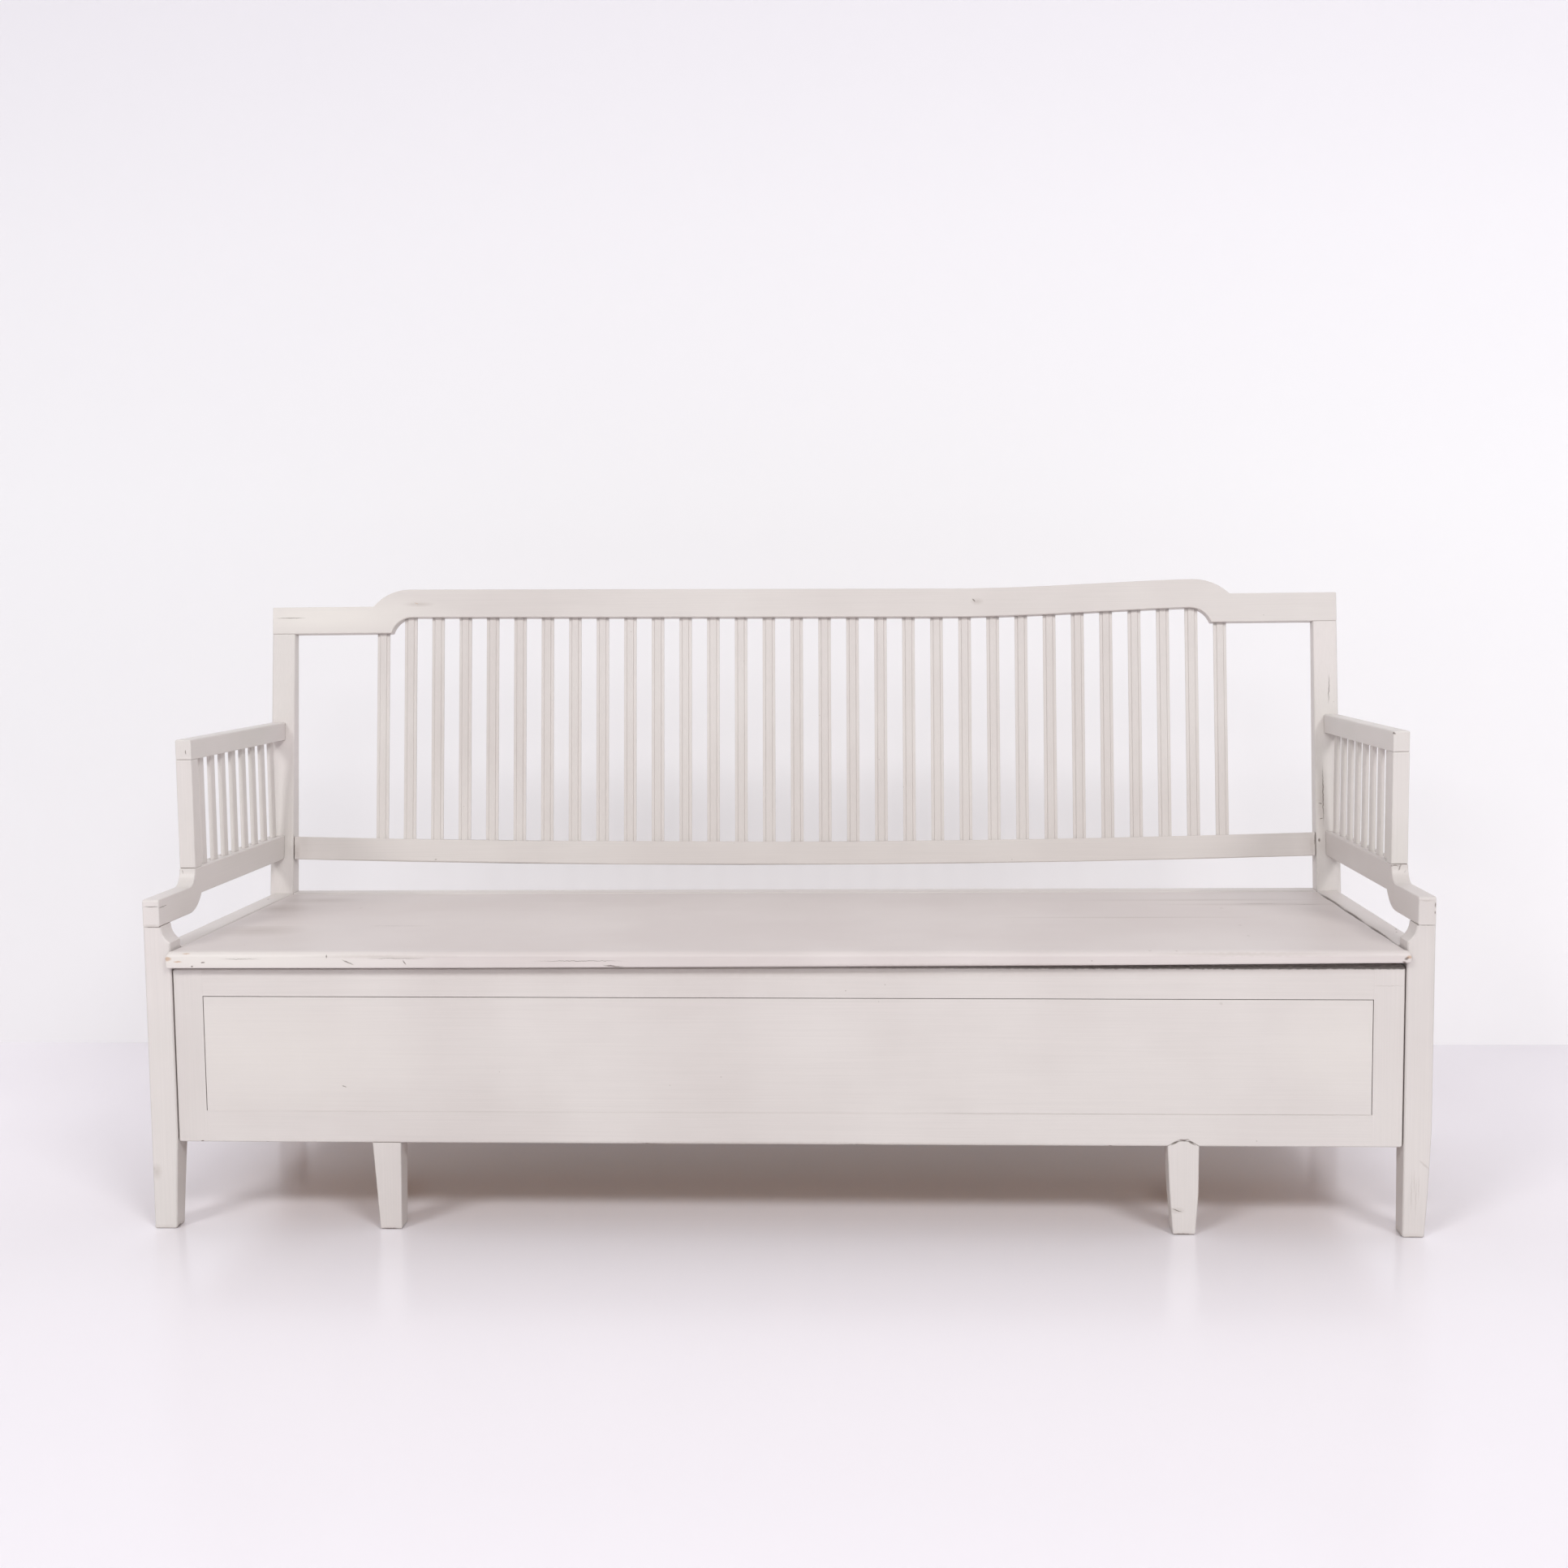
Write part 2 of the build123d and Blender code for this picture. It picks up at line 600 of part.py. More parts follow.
with BuildPart() as crest_rail:
    with BuildSketch(back_plane):
        with BuildLine():
            left_foot = Line((-half_width, left_joint), (-crest_under_start, left_joint))
            left_under = ThreePointArc(
                left_foot @ 1,
                (-under_flat - crest_under_run / 2,
                 curve_middle(high_under, crest_under_run, high_under - left_joint)),
                (-under_flat, high_under))
            under_fall = Line(left_under @ 1, (crest_low_at, high_under - crest_low_drop))
            under_dip = TangentArc(under_fall @ 1,
                                   (crest_climb_at, high_under - crest_climb_drop),
                                   tangent=under_fall % 1)
            under_climb = TangentArc(under_dip @ 1,
                                     (under_flat, high_under + crest_right_rise),
                                     tangent=under_dip % 1)
            right_under = ThreePointArc(
                under_climb @ 1,
                (under_flat + crest_under_run / 2, crest_right_rise
                 + curve_middle(high_under, crest_under_run, crest_lift)),
                (crest_under_start, right_joint))
            right_foot = Line(right_under @ 1, (half_width, right_joint))
            right_end = Line(right_foot @ 1, (half_width, right_low_top))
            right_low = Line(right_end @ 1, (crest_top_start, right_low_top))
            top_fall = Line((-top_flat, high_top), (crest_low_at, high_top - crest_low_drop))
            top_dip = TangentArc(top_fall @ 1, (crest_climb_at, high_top - crest_climb_drop),
                                 tangent=top_fall % 1)
            top_climb = TangentArc(top_dip @ 1, (top_flat, high_top + crest_right_rise),
                                   tangent=top_dip % 1)
            ThreePointArc(right_low @ 1,
                          (top_flat + crest_top_run / 2, crest_right_rise
                           + curve_middle(high_top, crest_top_run, crest_lift)),
                          top_climb @ 1)
            left_top = ThreePointArc(
                top_fall @ 0,
                (-top_flat - crest_top_run / 2,
                 curve_middle(high_top, crest_top_run, high_top - left_low_top)),
                (-crest_top_start, left_low_top))
            left_low = Line(left_top @ 1, (-half_width, left_low_top))
            Line(left_low @ 1, left_foot @ 0)
        make_face()
    extrude(amount=-back_thickness)
    chamfer(crest_rail.edges(), arris)
    for x, foot_end, head_end in slat_spans:
        with BuildSketch(back_plane.offset(-slat_face + joint_gap)):
            with Locations((x, head_end - slat_housing)):
                Rectangle(slat_mortise_width, 2 * (slat_housing + joint_gap))
        extrude(amount=-slat_mortise_thickness, mode=Mode.SUBTRACT)
    with BuildSketch(back_plane.offset(joint_gap
                                       - (back_thickness - post_tenon_thickness) / 2)):
        with Locations((rear_post_centre, right_joint), (-rear_post_centre, left_joint)):
            Rectangle(post_tenon_width + 2 * joint_gap, 2 * (post_tenon + joint_gap))
    extrude(amount=-post_tenon_thickness - 2 * joint_gap, mode=Mode.SUBTRACT)
crest_rail.part.label = "crest_rail"
export_step(crest_rail.part, "parts/crest_rail.step")

# ================================================================= seat base
side_length = back_setback - post_depth
side_mid_y = y_post_rear + side_length / 2
pivot_y = y_back - hinge_gap - lid_thickness / 2
pivot_z = seat_height - lid_thickness / 2
board_outer = rail_outer - side_board_setback
board_inner = board_outer - side_board_thickness
with BuildPart() as side_rail_right:
    with Locations((rail_centre, side_mid_y, side_rail_mid)):
        Box(side_rail_width, side_length, side_rail_height)
    outer_top = side_rail_right.edges().filter_by(Axis.Y).group_by(Axis.Z)[-1].sort_by(Axis.X)[-1]
    fillet(outer_top, side_rail_round)
    inner_top = side_rail_right.edges().filter_by(Axis.Y).group_by(Axis.Z)[-1].sort_by(Axis.X)[0]
    chamfer(inner_top, arris)
    with Locations((rail_centre, side_mid_y, side_rail_mid)):
        Box(side_tenon_width, side_length + 2 * side_tenon, side_tenon_height)
    # bearing hole of the lid's pivot pin
    with Locations(Plane(origin=(rail_inner, pivot_y, pivot_z), z_dir=(-1, 0, 0))):
        Hole(radius=pivot_diameter / 2 + pivot_clearance, depth=pivot_in_rail + joint_gap)
    # groove for the side board
    with Locations((board_outer - side_board_thickness / 2, side_mid_y, side_rail_bottom)):
        Box(side_board_thickness + 2 * joint_gap, side_length, 2 * side_board_groove,
            mode=Mode.SUBTRACT)
side_rail_right.part.label = "side_rail_right"
export_step(side_rail_right.part, "parts/side_rail_right.step")

with BuildPart() as side_rail_left:
    mirror(side_rail_right.part, about=Plane.YZ)
side_rail_left.part.label = "side_rail_left"
export_step(side_rail_left.part, "parts/side_rail_left.step")

side_board_top = side_rail_bottom + side_board_groove - joint_gap
runner_mid_z = base_bottom + runner_height / 2
runner_length = side_length - 2 * runner_end_gap
runner_inner = board_inner - runner_width
screw_pitch = runner_length / runner_screw_count
screw_rows = [side_mid_y + (i - (runner_screw_count - 1) / 2) * screw_pitch
              for i in range(runner_screw_count)]
with BuildPart() as side_board_right:
    with Locations((board_outer - side_board_thickness / 2, side_mid_y,
                    (side_board_top + base_bottom) / 2)):
        Box(side_board_thickness, side_length, side_board_top - base_bottom)
    for row in screw_rows:
        with Locations(Plane(origin=(board_inner, row, runner_mid_z), z_dir=(-1, 0, 0))):
            Hole(radius=screw_diameter / 2, depth=runner_screw_bite)
side_board_right.part.label = "side_board_right"
export_step(side_board_right.part, "parts/side_board_right.step")

with BuildPart() as side_board_left:
    mirror(side_board_right.part, about=Plane.YZ)
side_board_left.part.label = "side_board_left"
export_step(side_board_left.part, "parts/side_board_left.step")

with BuildPart() as rear_seat_rail:
    with Locations((0, y_back + rear_leg_depth / 2, rear_rail_centre)):
        Box(2 * rear_post_inner, rear_leg_depth, rear_rail_height)
    swing_edge = rear_seat_rail.edges().filter_by(Axis.X).group_by(Axis.Y)[0].sort_by(Axis.Z)[-1]
    fillet(swing_edge, rear_rail_round)
    with Locations((0, rear_tenon_y, rear_rail_centre)):
        Box(2 * (rear_post_inner + rear_tenon), rear_tenon_thickness, rear_tenon_height)
rear_seat_rail.part.label = "rear_seat_rail"
export_step(rear_seat_rail.part, "parts/rear_seat_rail.step")

rear_board_mid_y = y_back + rear_leg_depth / 2
rear_board_low = base_bottom
rear_board_high = seat_height - rear_rail_height
rear_board_each = (rear_board_high - rear_board_low - board_joint) / 2
with BuildPart() as rear_boards:
    for centre in (rear_board_low + rear_board_each / 2,
                   rear_board_high - rear_board_each / 2):
        with Locations((0, rear_board_mid_y, centre)):
            Box(2 * rear_post_inner, rear_board_thickness, rear_board_each)
rear_boards.part.label = "rear_boards"
export_step(rear_boards.part, "parts/rear_boards.step")

with BuildPart() as rear_bottom_rail:
    with Locations((0, rear_board_mid_y, base_bottom - bottom_rail_height / 2)):
        Box(2 * rear_post_inner, bottom_rail_thickness, bottom_rail_height)
rear_bottom_rail.part.label = "rear_bottom_rail"
export_step(rear_bottom_rail.part, "parts/rear_bottom_rail.step")

# Runner that the drawer's side slides on, screwed to the side board.
with BuildPart() as drawer_runner_right:
    with Locations((board_inner - runner_width / 2, side_mid_y, runner_mid_z)):
        Box(runner_width, runner_length, runner_height)
    for row in screw_rows:
        with Locations(Plane(origin=(runner_inner, row, runner_mid_z), z_dir=(-1, 0, 0))):
            CounterSinkHole(radius=screw_diameter / 2, counter_sink_radius=screw_head / 2,
                            counter_sink_angle=90)
drawer_runner_right.part.label = "drawer_runner_right"
export_step(drawer_runner_right.part, "parts/drawer_runner_right.step")

head_depth = (screw_head - screw_diameter) / 2
with BuildPart() as runner_screws:
    for side in (-1, 1):
        for row in screw_rows:
            with Locations(Plane(origin=(side * runner_inner, row, runner_mid_z),
                                 z_dir=(side, 0, 0))):
                Cone(screw_head / 2, screw_diameter / 2, head_depth,
                     align=(Align.CENTER, Align.CENTER, Align.MIN))
                Cylinder(screw_diameter / 2, runner_width + runner_screw_bite,
                         align=(Align.CENTER, Align.CENTER, Align.MIN))
runner_screws.part.label = "runner_screws"
export_step(runner_screws.part, "parts/runner_screws.step")

with BuildPart() as drawer_runner_left:
    mirror(drawer_runner_right.part, about=Plane.YZ)
drawer_runner_left.part.label = "drawer_runner_left"
export_step(drawer_runner_left.part, "parts/drawer_runner_left.step")

# Fixed stop behind each front post; the drawer's catch meets it when full out.
stop_mid_z = side_rail_bottom - stop_drop - stop_height / 2
y_stop = y_post_rear + stop_post_gap
with BuildPart() as frame_stops:
    for side in (-1, 1):
        with Locations((side * (board_inner - stop_reach / 2),
                        y_stop + stop_length / 2, stop_mid_z)):
            Box(stop_reach, stop_length, stop_height)
frame_stops.part.label = "frame_stops"
export_step(frame_stops.part, "parts/frame_stops.step")

# ====================================================================== lid
# Three boards; the front one has a rounded nose with short horns that lap the
# front posts, the rear one is rounded about the pivot pins.
lid_half = clear_half - lid_side_gap
horn_reach = lid_half + horn_lap
lid_join_front = y_nose + lid_front_board
lid_end = y_back - hinge_gap
lid_join_rear = lid_end - lid_rear_board
batten_xs = (-batten_spacing, 0, batten_spacing)
batten_length = lid_end - batten_rear_gap - y_front - batten_start
y_groove = y_front + batten_start - joint_gap     # stopped end of the grooves

# Section of the grooves under the lid; each batten's tongue slides in from the
# rear and holds the three boards together without a screw.
with BuildSketch() as dovetail_groove:
    with BuildLine():
        Polyline((-dovetail_neck / 2 - joint_gap, -joint_gap),
                 (dovetail_neck / 2 + joint_gap, -joint_gap),
                 (dovetail_head / 2 + joint_gap, dovetail_depth + joint_gap),
                 (-dovetail_head / 2 - joint_gap, dovetail_depth + joint_gap), close=True)
    make_face()

with BuildPart() as lid_board_front:
    with BuildSketch(Plane.XY.offset(lid_underside)):
        with BuildLine():
            Polyline((-horn_reach, y_nose), (horn_reach, y_nose),
                     (horn_reach, y_front - horn_gap), (lid_half, y_front - horn_gap),
                     (lid_half, lid_join_front), (-lid_half, lid_join_front),
                     (-lid_half, y_front - horn_gap), (-horn_reach, y_front - horn_gap),
                     close=True)
        make_face()
    extrude(amount=lid_thickness)
    # the planed underside of the nose, over the drawer's front
    with BuildSketch(Plane.XZ.offset(-y_nose)):
        with BuildLine():
            planed = ThreePointArc((-horn_reach, lid_underside + nose_thin_left),
                                   (0, lid_underside + nose_thin_middle),
                                   (horn_reach, lid_underside + nose_thin_right))
            Polyline(planed @ 1, (horn_reach, lid_underside), (-horn_reach, lid_underside),
                     planed @ 0)
        make_face()
    extrude(amount=-nose_thin_depth, mode=Mode.SUBTRACT)
    nose_corners = lid_board_front.edges().filter_by(Axis.Z).group_by(Axis.Y)[0]
    fillet(nose_corners, horn_corner_round)
    nose_edges = lid_board_front.edges().group_by(Axis.Y)[0]
    fillet(nose_edges.sort_by(Axis.Z)[-1], nose_round)
    nose_edges = lid_board_front.edges().group_by(Axis.Y)[0]
    fillet(nose_edges.sort_by(Axis.Z)[0], nose_under_round)
    with BuildSketch(Plane.XZ.offset(-y_groove)):
        with Locations([(x, lid_underside) for x in batten_xs]):
            add(dovetail_groove.sketch)
    extrude(amount=-(lid_join_front - y_groove), mode=Mode.SUBTRACT)
lid_board_front.part.label = "lid_board_front"
export_step(lid_board_front.part, "parts/lid_board_front.step")

with BuildPart() as lid_board_middle:
    with Locations((0, (lid_join_front + lid_join_rear) / 2, seat_height - lid_thickness / 2)):
        Box(2 * lid_half, lid_join_rear - lid_join_front - 2 * board_joint, lid_thickness)
    with BuildSketch(Plane.XZ.offset(-lid_join_front)):
        with Locations([(x, lid_underside) for x in batten_xs]):
            add(dovetail_groove.sketch)
    extrude(amount=-(lid_join_rear - lid_join_front), mode=Mode.SUBTRACT)
lid_board_middle.part.label = "lid_board_middle"
export_step(lid_board_middle.part, "parts/lid_board_middle.step")

with BuildPart() as lid_board_rear:
    with BuildSketch(Plane.YZ.offset(-lid_half)):
        with BuildLine():
            underside = Line((lid_join_rear, lid_underside), (pivot_y, lid_underside))
            knuckle = ThreePointArc(underside @ 1, (lid_end, pivot_z), (pivot_y, seat_height))
            Polyline(knuckle @ 1, (lid_join_rear, seat_height), underside @ 0)
        make_face()
    extrude(amount=2 * lid_half)
    for side in (-1, 1):
        with Locations(Plane(origin=(side * lid_half, pivot_y, pivot_z), z_dir=(side, 0, 0))):
            Hole(radius=pivot_diameter / 2, depth=pivot_in_lid)
    with BuildSketch(Plane.XZ.offset(-lid_join_rear)):
        with Locations([(x, lid_underside) for x in batten_xs]):
            add(dovetail_groove.sketch)
    extrude(amount=-lid_rear_board, mode=Mode.SUBTRACT)
lid_board_rear.part.label = "lid_board_rear"
export_step(lid_board_rear.part, "parts/lid_board_rear.step")

pin_length = rail_inner + pivot_in_rail - (lid_half - pivot_in_lid)
with BuildPart() as lid_pivot_pins:
    for side in (-1, 1):
        with Locations(Plane(origin=(side * (lid_half - pivot_in_lid), pivot_y, pivot_z),
                             z_dir=(side, 0, 0))):
            Cylinder(pivot_diameter / 2, pin_length,
                     align=(Align.CENTER, Align.CENTER, Align.MIN))
lid_pivot_pins.part.label = "lid_pivot_pins"
export_step(lid_pivot_pins.part, "parts/lid_pivot_pins.step")

with BuildPart() as lid_battens:
    for x in batten_xs:
        with BuildSketch(Plane.XZ.offset(-y_front - batten_start)):
            with BuildLine():
                Polyline((x - batten_width / 2 + batten_chamfer, batten_under),
                         (x + batten_width / 2 - batten_chamfer, batten_under),
                         (x + batten_width / 2, batten_under + batten_chamfer),
                         (x + batten_width / 2, lid_underside),
                         (x + dovetail_neck / 2, lid_underside),
                         (x + dovetail_head / 2, lid_underside + dovetail_depth),
                         (x - dovetail_head / 2, lid_underside + dovetail_depth),
                         (x - dovetail_neck / 2, lid_underside),
                         (x - batten_width / 2, lid_underside),
                         (x - batten_width / 2, batten_under + batten_chamfer), close=True)
            make_face()
    extrude(amount=-batten_length)
lid_battens.part.label = "lid_battens"
export_step(lid_battens.part, "parts/lid_battens.step")

# =================================================================== drawer
y_face = y_front + drawer_recess
y_face_rear = y_face + front_thickness
y_tongue = y_face + front_thickness / 2
drawer_half = post_inner - drawer_side_gap
panel_half = drawer_half - stile_width
panel_bottom = drawer_bottom + front_bottom_rail
panel_top = drawer_top - front_top_rail
front_high = drawer_top + front_top_rise
groove_depth = tongue_length + joint_gap
tongue_bottom = panel_bottom - tongue_length
tongue_top = panel_top + panel_left_rise + tongue_length
tongue_mid = (tongue_bottom + tongue_top) / 2
top_tenon_mid = (tongue_top + drawer_top) / 2
bottom_tenon_mid = (drawer_bottom + panel_bottom) / 2
left_leg_outer = leg_spacing - left_leg_shift + left_leg_width / 2
left_leg_inner = left_leg_outer - left_leg_width
right_leg_mid = leg_spacing + right_leg_shift
right_leg_outer = right_leg_mid + right_leg_width / 2
right_leg_inner = right_leg_mid - right_leg_width / 2

# Opening for the panel; its upper edge was never quite straight.
with BuildSketch() as panel_field:
    with BuildLine():
        field_top = ThreePointArc((-panel_half, panel_top + panel_left_rise),
                                  (0, panel_top), (panel_half, panel_top))
        Polyline(field_top @ 1, (panel_half, panel_bottom), (-panel_half, panel_bottom),
                 field_top @ 0)
    make_face()

# What is planed off the front's upper edge, less and less to the right.
with BuildSketch() as front_top_trim:
    with BuildLine():
        Polyline((-drawer_half, drawer_top), (drawer_half, front_high),
                 (drawer_half, seat_height), (-drawer_half, seat_height), close=True)
    make_face()

with BuildPart() as drawer_panel:
    with BuildSketch(Plane.XZ.offset(-y_face)):
        add(panel_field.sketch)
        offset(amount=-panel_gap, kind=Kind.INTERSECTION)
    extrude(amount=-panel_thickness)
    with Locations((0, y_tongue, tongue_mid)):
        Box(2 * (panel_half + tongue_length), tongue_thickness, tongue_top - tongue_bottom)
drawer_panel.part.label = "drawer_panel"
export_step(drawer_panel.part, "parts/drawer_panel.step")

with BuildPart() as drawer_top_rail:
    with Locations((0, y_tongue, (panel_top - tongue_length + front_high) / 2)):
        Box(2 * panel_half, front_thickness, front_high - panel_top + tongue_length)
    with BuildSketch(Plane.XZ.offset(-y_face)):
        add(panel_field.sketch)
        add(front_top_trim.sketch)
    extrude(amount=-front_thickness, mode=Mode.SUBTRACT)
    chamfer(drawer_top_rail.edges().group_by(Axis.Y)[0].sort_by(Axis.Z)[-1], front_arris)
    with Locations((0, y_tongue, top_tenon_mid)):
        Box(2 * (panel_half + rail_tenon), tongue_thickness, top_tenon_height)
    with Locations((0, y_tongue, tongue_mid)):
        Box(2 * panel_half, tongue_thickness + 2 * joint_gap,
            tongue_top - tongue_bottom + 2 * joint_gap, mode=Mode.SUBTRACT)
drawer_top_rail.part.label = "drawer_top_rail"
export_step(drawer_top_rail.part, "parts/drawer_top_rail.step")

# The right leg has a domed shoulder let into the rail, the left one a square one.
with BuildPart() as drawer_bottom_rail:
    with Locations((0, y_tongue, bottom_tenon_mid)):
        Box(2 * panel_half, front_thickness, front_bottom_rail)
    chamfer(drawer_bottom_rail.edges().group_by(Axis.Y)[0].sort_by(Axis.Z)[0], front_arris)
    with Locations((0, y_tongue, bottom_tenon_mid)):
        Box(2 * (panel_half + rail_tenon), tongue_thickness, bottom_tenon_height)
    with Locations((0, y_tongue, tongue_mid)):
        Box(2 * panel_half, tongue_thickness + 2 * joint_gap,
            tongue_top - tongue_bottom + 2 * joint_gap, mode=Mode.SUBTRACT)
    for side in (-1, 1):
        with Locations((side * leg_spacing, y_tongue, drawer_bottom)):
            Box(leg_tenon_width + 2 * joint_gap, tongue_thickness + 2 * joint_gap,
                2 * (leg_tenon + joint_gap), mode=Mode.SUBTRACT)
    with BuildSketch(Plane.XZ.offset(-y_face)):
        with BuildLine():
            dome = ThreePointArc((right_leg_inner - arch_gap, drawer_bottom),
                                 (right_leg_mid, drawer_bottom + arch_rise + arch_gap),
                                 (right_leg_outer + arch_gap, drawer_bottom))
            Line(dome @ 1, dome @ 0)
        make_face()
    extrude(amount=-front_thickness, mode=Mode.SUBTRACT)
drawer_bottom_rail.part.label = "drawer_bottom_rail"
export_step(drawer_bottom_rail.part, "parts/drawer_bottom_rail.step")


def drawer_stile(side):
    """One stile of the drawer's front; side is 1 on the right and -1 on the left."""
    with BuildPart() as stile:
        with Locations((side * (drawer_half - stile_width / 2), y_tongue,
                        (front_high + drawer_bottom) / 2)):
            Box(stile_width, front_thickness, front_high - drawer_bottom)
        with BuildSketch(Plane.XZ.offset(-y_face)):
            add(front_top_trim.sketch)
        extrude(amount=-front_thickness, mode=Mode.SUBTRACT)
        outer_corners = stile.edges().filter_by(Axis.Y).sort_by(Axis.X, reverse=side > 0)[:2]
        fillet(outer_corners, front_corner_round)
        face_edges = stile.edges().group_by(Axis.Y)[0].sort_by(Axis.X, reverse=side < 0)
        chamfer(face_edges[1:], front_arris)
        with Locations((side * panel_half, y_tongue, tongue_mid)):
            Box(2 * groove_depth, tongue_thickness + 2 * joint_gap,
                tongue_top - tongue_bottom + 2 * joint_gap, mode=Mode.SUBTRACT)
        for tenon_mid, tenon_height in ((top_tenon_mid, top_tenon_height),
                                        (bottom_tenon_mid, bottom_tenon_height)):
            with Locations((side * panel_half, y_tongue, tenon_mid)):
                Box(2 * (rail_tenon + joint_gap), tongue_thickness + 2 * joint_gap,
                    tenon_height + 2 * joint_gap, mode=Mode.SUBTRACT)
    return stile.part


drawer_stile_right = drawer_stile(1)
drawer_stile_right.label = "drawer_stile_right"
export_step(drawer_stile_right, "parts/drawer_stile_right.step")

drawer_stile_left = drawer_stile(-1)
drawer_stile_left.label = "drawer_stile_left"
export_step(drawer_stile_left, "parts/drawer_stile_left.step")

# Legs of the drawer: the left one tapers mostly on its outside, the right one
# in two flats on both sides. Their rear is rounded off under the drawer front.
leg_shoulder = leg_depth - front_thickness
leg_top = drawer_bottom + 2 * arch_rise
with BuildPart() as leg_side_view:
    with BuildSketch(Plane.YZ.offset(-half_width)):
        with BuildLine():
            front_line = Polyline((y_face + leg_depth - leg_rear_taper, 0), (y_face, 0),
                                  (y_face, leg_top), (y_face_rear, leg_top),
                                  (y_face_rear, drawer_bottom))
            shoulder = RadiusArc(front_line @ 1,
                                 (y_face + leg_depth, drawer_bottom - leg_shoulder),
                                 leg_shoulder)
            Line(shoulder @ 1, front_line @ 0)
        make_face()
    extrude(amount=overall_width)

with BuildPart() as drawer_leg_left:
    with BuildSketch(Plane.XZ.offset(-y_face)):
        with BuildLine():
            Polyline((-left_leg_outer, drawer_bottom), (-left_leg_inner, drawer_bottom),
                     (-left_leg_inner - left_inner_taper, 0),
                     (-left_leg_outer + left_outer_taper, 0), close=True)
        make_face()
    extrude(amount=-leg_depth)
    add(leg_side_view.part, mode=Mode.INTERSECT)
    front_edges = drawer_leg_left.edges().group_by(Axis.Y)[0]
    chamfer(front_edges.filter_by(Axis.X, reverse=True), arris)
    chamfer(drawer_leg_left.edges().group_by(Axis.Z)[0], leg_foot_chamfer)
    with Locations((-leg_spacing, y_tongue, drawer_bottom)):
        Box(leg_tenon_width, tongue_thickness, leg_tenon,
            align=(Align.CENTER, Align.CENTER, Align.MIN))
drawer_leg_left.part.label = "drawer_leg_left"
export_step(drawer_leg_left.part, "parts/drawer_leg_left.step")

with BuildPart() as drawer_leg_right:
    with BuildSketch(Plane.XZ.offset(-y_face)):
        with BuildLine():
            crown = ThreePointArc((right_leg_inner, drawer_bottom),
                                  (right_leg_mid, drawer_bottom + arch_rise),
                                  (right_leg_outer, drawer_bottom))
            Polyline(crown @ 1,
                     (right_leg_outer - right_outer_knee_taper, right_outer_knee_height),
                     (right_leg_outer - right_outer_taper, 0),
                     (right_leg_inner + right_inner_taper, 0),
                     (right_leg_inner + right_inner_knee_taper, right_inner_knee_height),
                     crown @ 0)
        make_face()
    extrude(amount=-leg_depth)
    add(leg_side_view.part, mode=Mode.INTERSECT)
    front_edges = drawer_leg_right.edges().group_by(Axis.Y)[0]
    chamfer(front_edges.filter_by(Axis.X, reverse=True), arris)
    chamfer(drawer_leg_right.edges().group_by(Axis.Z)[0], leg_foot_chamfer)
    with Locations((leg_spacing, y_tongue, drawer_bottom)):
        Box(leg_tenon_width, tongue_thickness, leg_tenon,
            align=(Align.CENTER, Align.CENTER, Align.MIN))
drawer_leg_right.part.label = "drawer_leg_right"
export_step(drawer_leg_right.part, "parts/drawer_leg_right.step")

# Drawer box
drawer_side_outer = clear_half - slide_gap
drawer_side_inner = drawer_side_outer - drawer_side_thickness
y_drawer_rear = y_back - drawer_rear_gap
runner_top = base_bottom + runner_height
drawer_side_bottom = runner_top + runner_play
side_run = y_drawer_rear - y_face_rear
with BuildPart() as drawer_side_right:
    with Locations((drawer_side_outer - drawer_side_thickness / 2,
                    y_face_rear + side_run / 2,
                    (drawer_side_bottom + drawer_side_top) / 2)):
        Box(drawer_side_thickness, side_run, drawer_side_top - drawer_side_bottom)
drawer_side_right.part.label = "drawer_side_right"
export_step(drawer_side_right.part, "parts/drawer_side_right.step")

with BuildPart() as drawer_side_left:
    mirror(drawer_side_right.part, about=Plane.YZ)
drawer_side_left.part.label = "drawer_side_left"
export_step(drawer_side_left.part, "parts/drawer_side_left.step")

y_drawer_back = y_drawer_rear - drawer_side_thickness
with BuildPart() as drawer_back:
    with Locations((0, y_drawer_back + drawer_side_thickness / 2,
                    (base_bottom + drawer_back_top) / 2)):
        Box(2 * drawer_side_inner, drawer_side_thickness, drawer_back_top - base_bottom)
drawer_back.part.label = "drawer_back"
export_step(drawer_back.part, "parts/drawer_back.step")

bearer_top = base_bottom + bearer_lift + bearer_height
bearer_run = y_drawer_back - y_face_rear
bearer_spacing = ((2 * (drawer_side_inner - bearer_side_gap) - bearer_width)
                  / (bearer_count - 1))
with BuildPart() as drawer_bearers:
    with Locations((0, y_face_rear + bearer_run / 2, bearer_top - bearer_height / 2)):
        with GridLocations(bearer_spacing, 1, bearer_count, 1):
            Box(bearer_width, bearer_run, bearer_height)
drawer_bearers.part.label = "drawer_bearers"
export_step(drawer_bearers.part, "parts/drawer_bearers.step")

board_each = (bearer_run - (bottom_board_count + 1) * board_joint) / bottom_board_count
with BuildPart() as drawer_bottom_boards:
    with Locations((0, y_face_rear + bearer_run / 2,
                    bearer_top + bottom_board_thickness / 2)):
        with GridLocations(1, board_each + board_joint, 1, bottom_board_count):
            Box(2 * (drawer_side_inner - board_joint), board_each, bottom_board_thickness)
drawer_bottom_boards.part.label = "drawer_bottom_boards"
export_step(drawer_bottom_boards.part, "parts/drawer_bottom_boards.step")

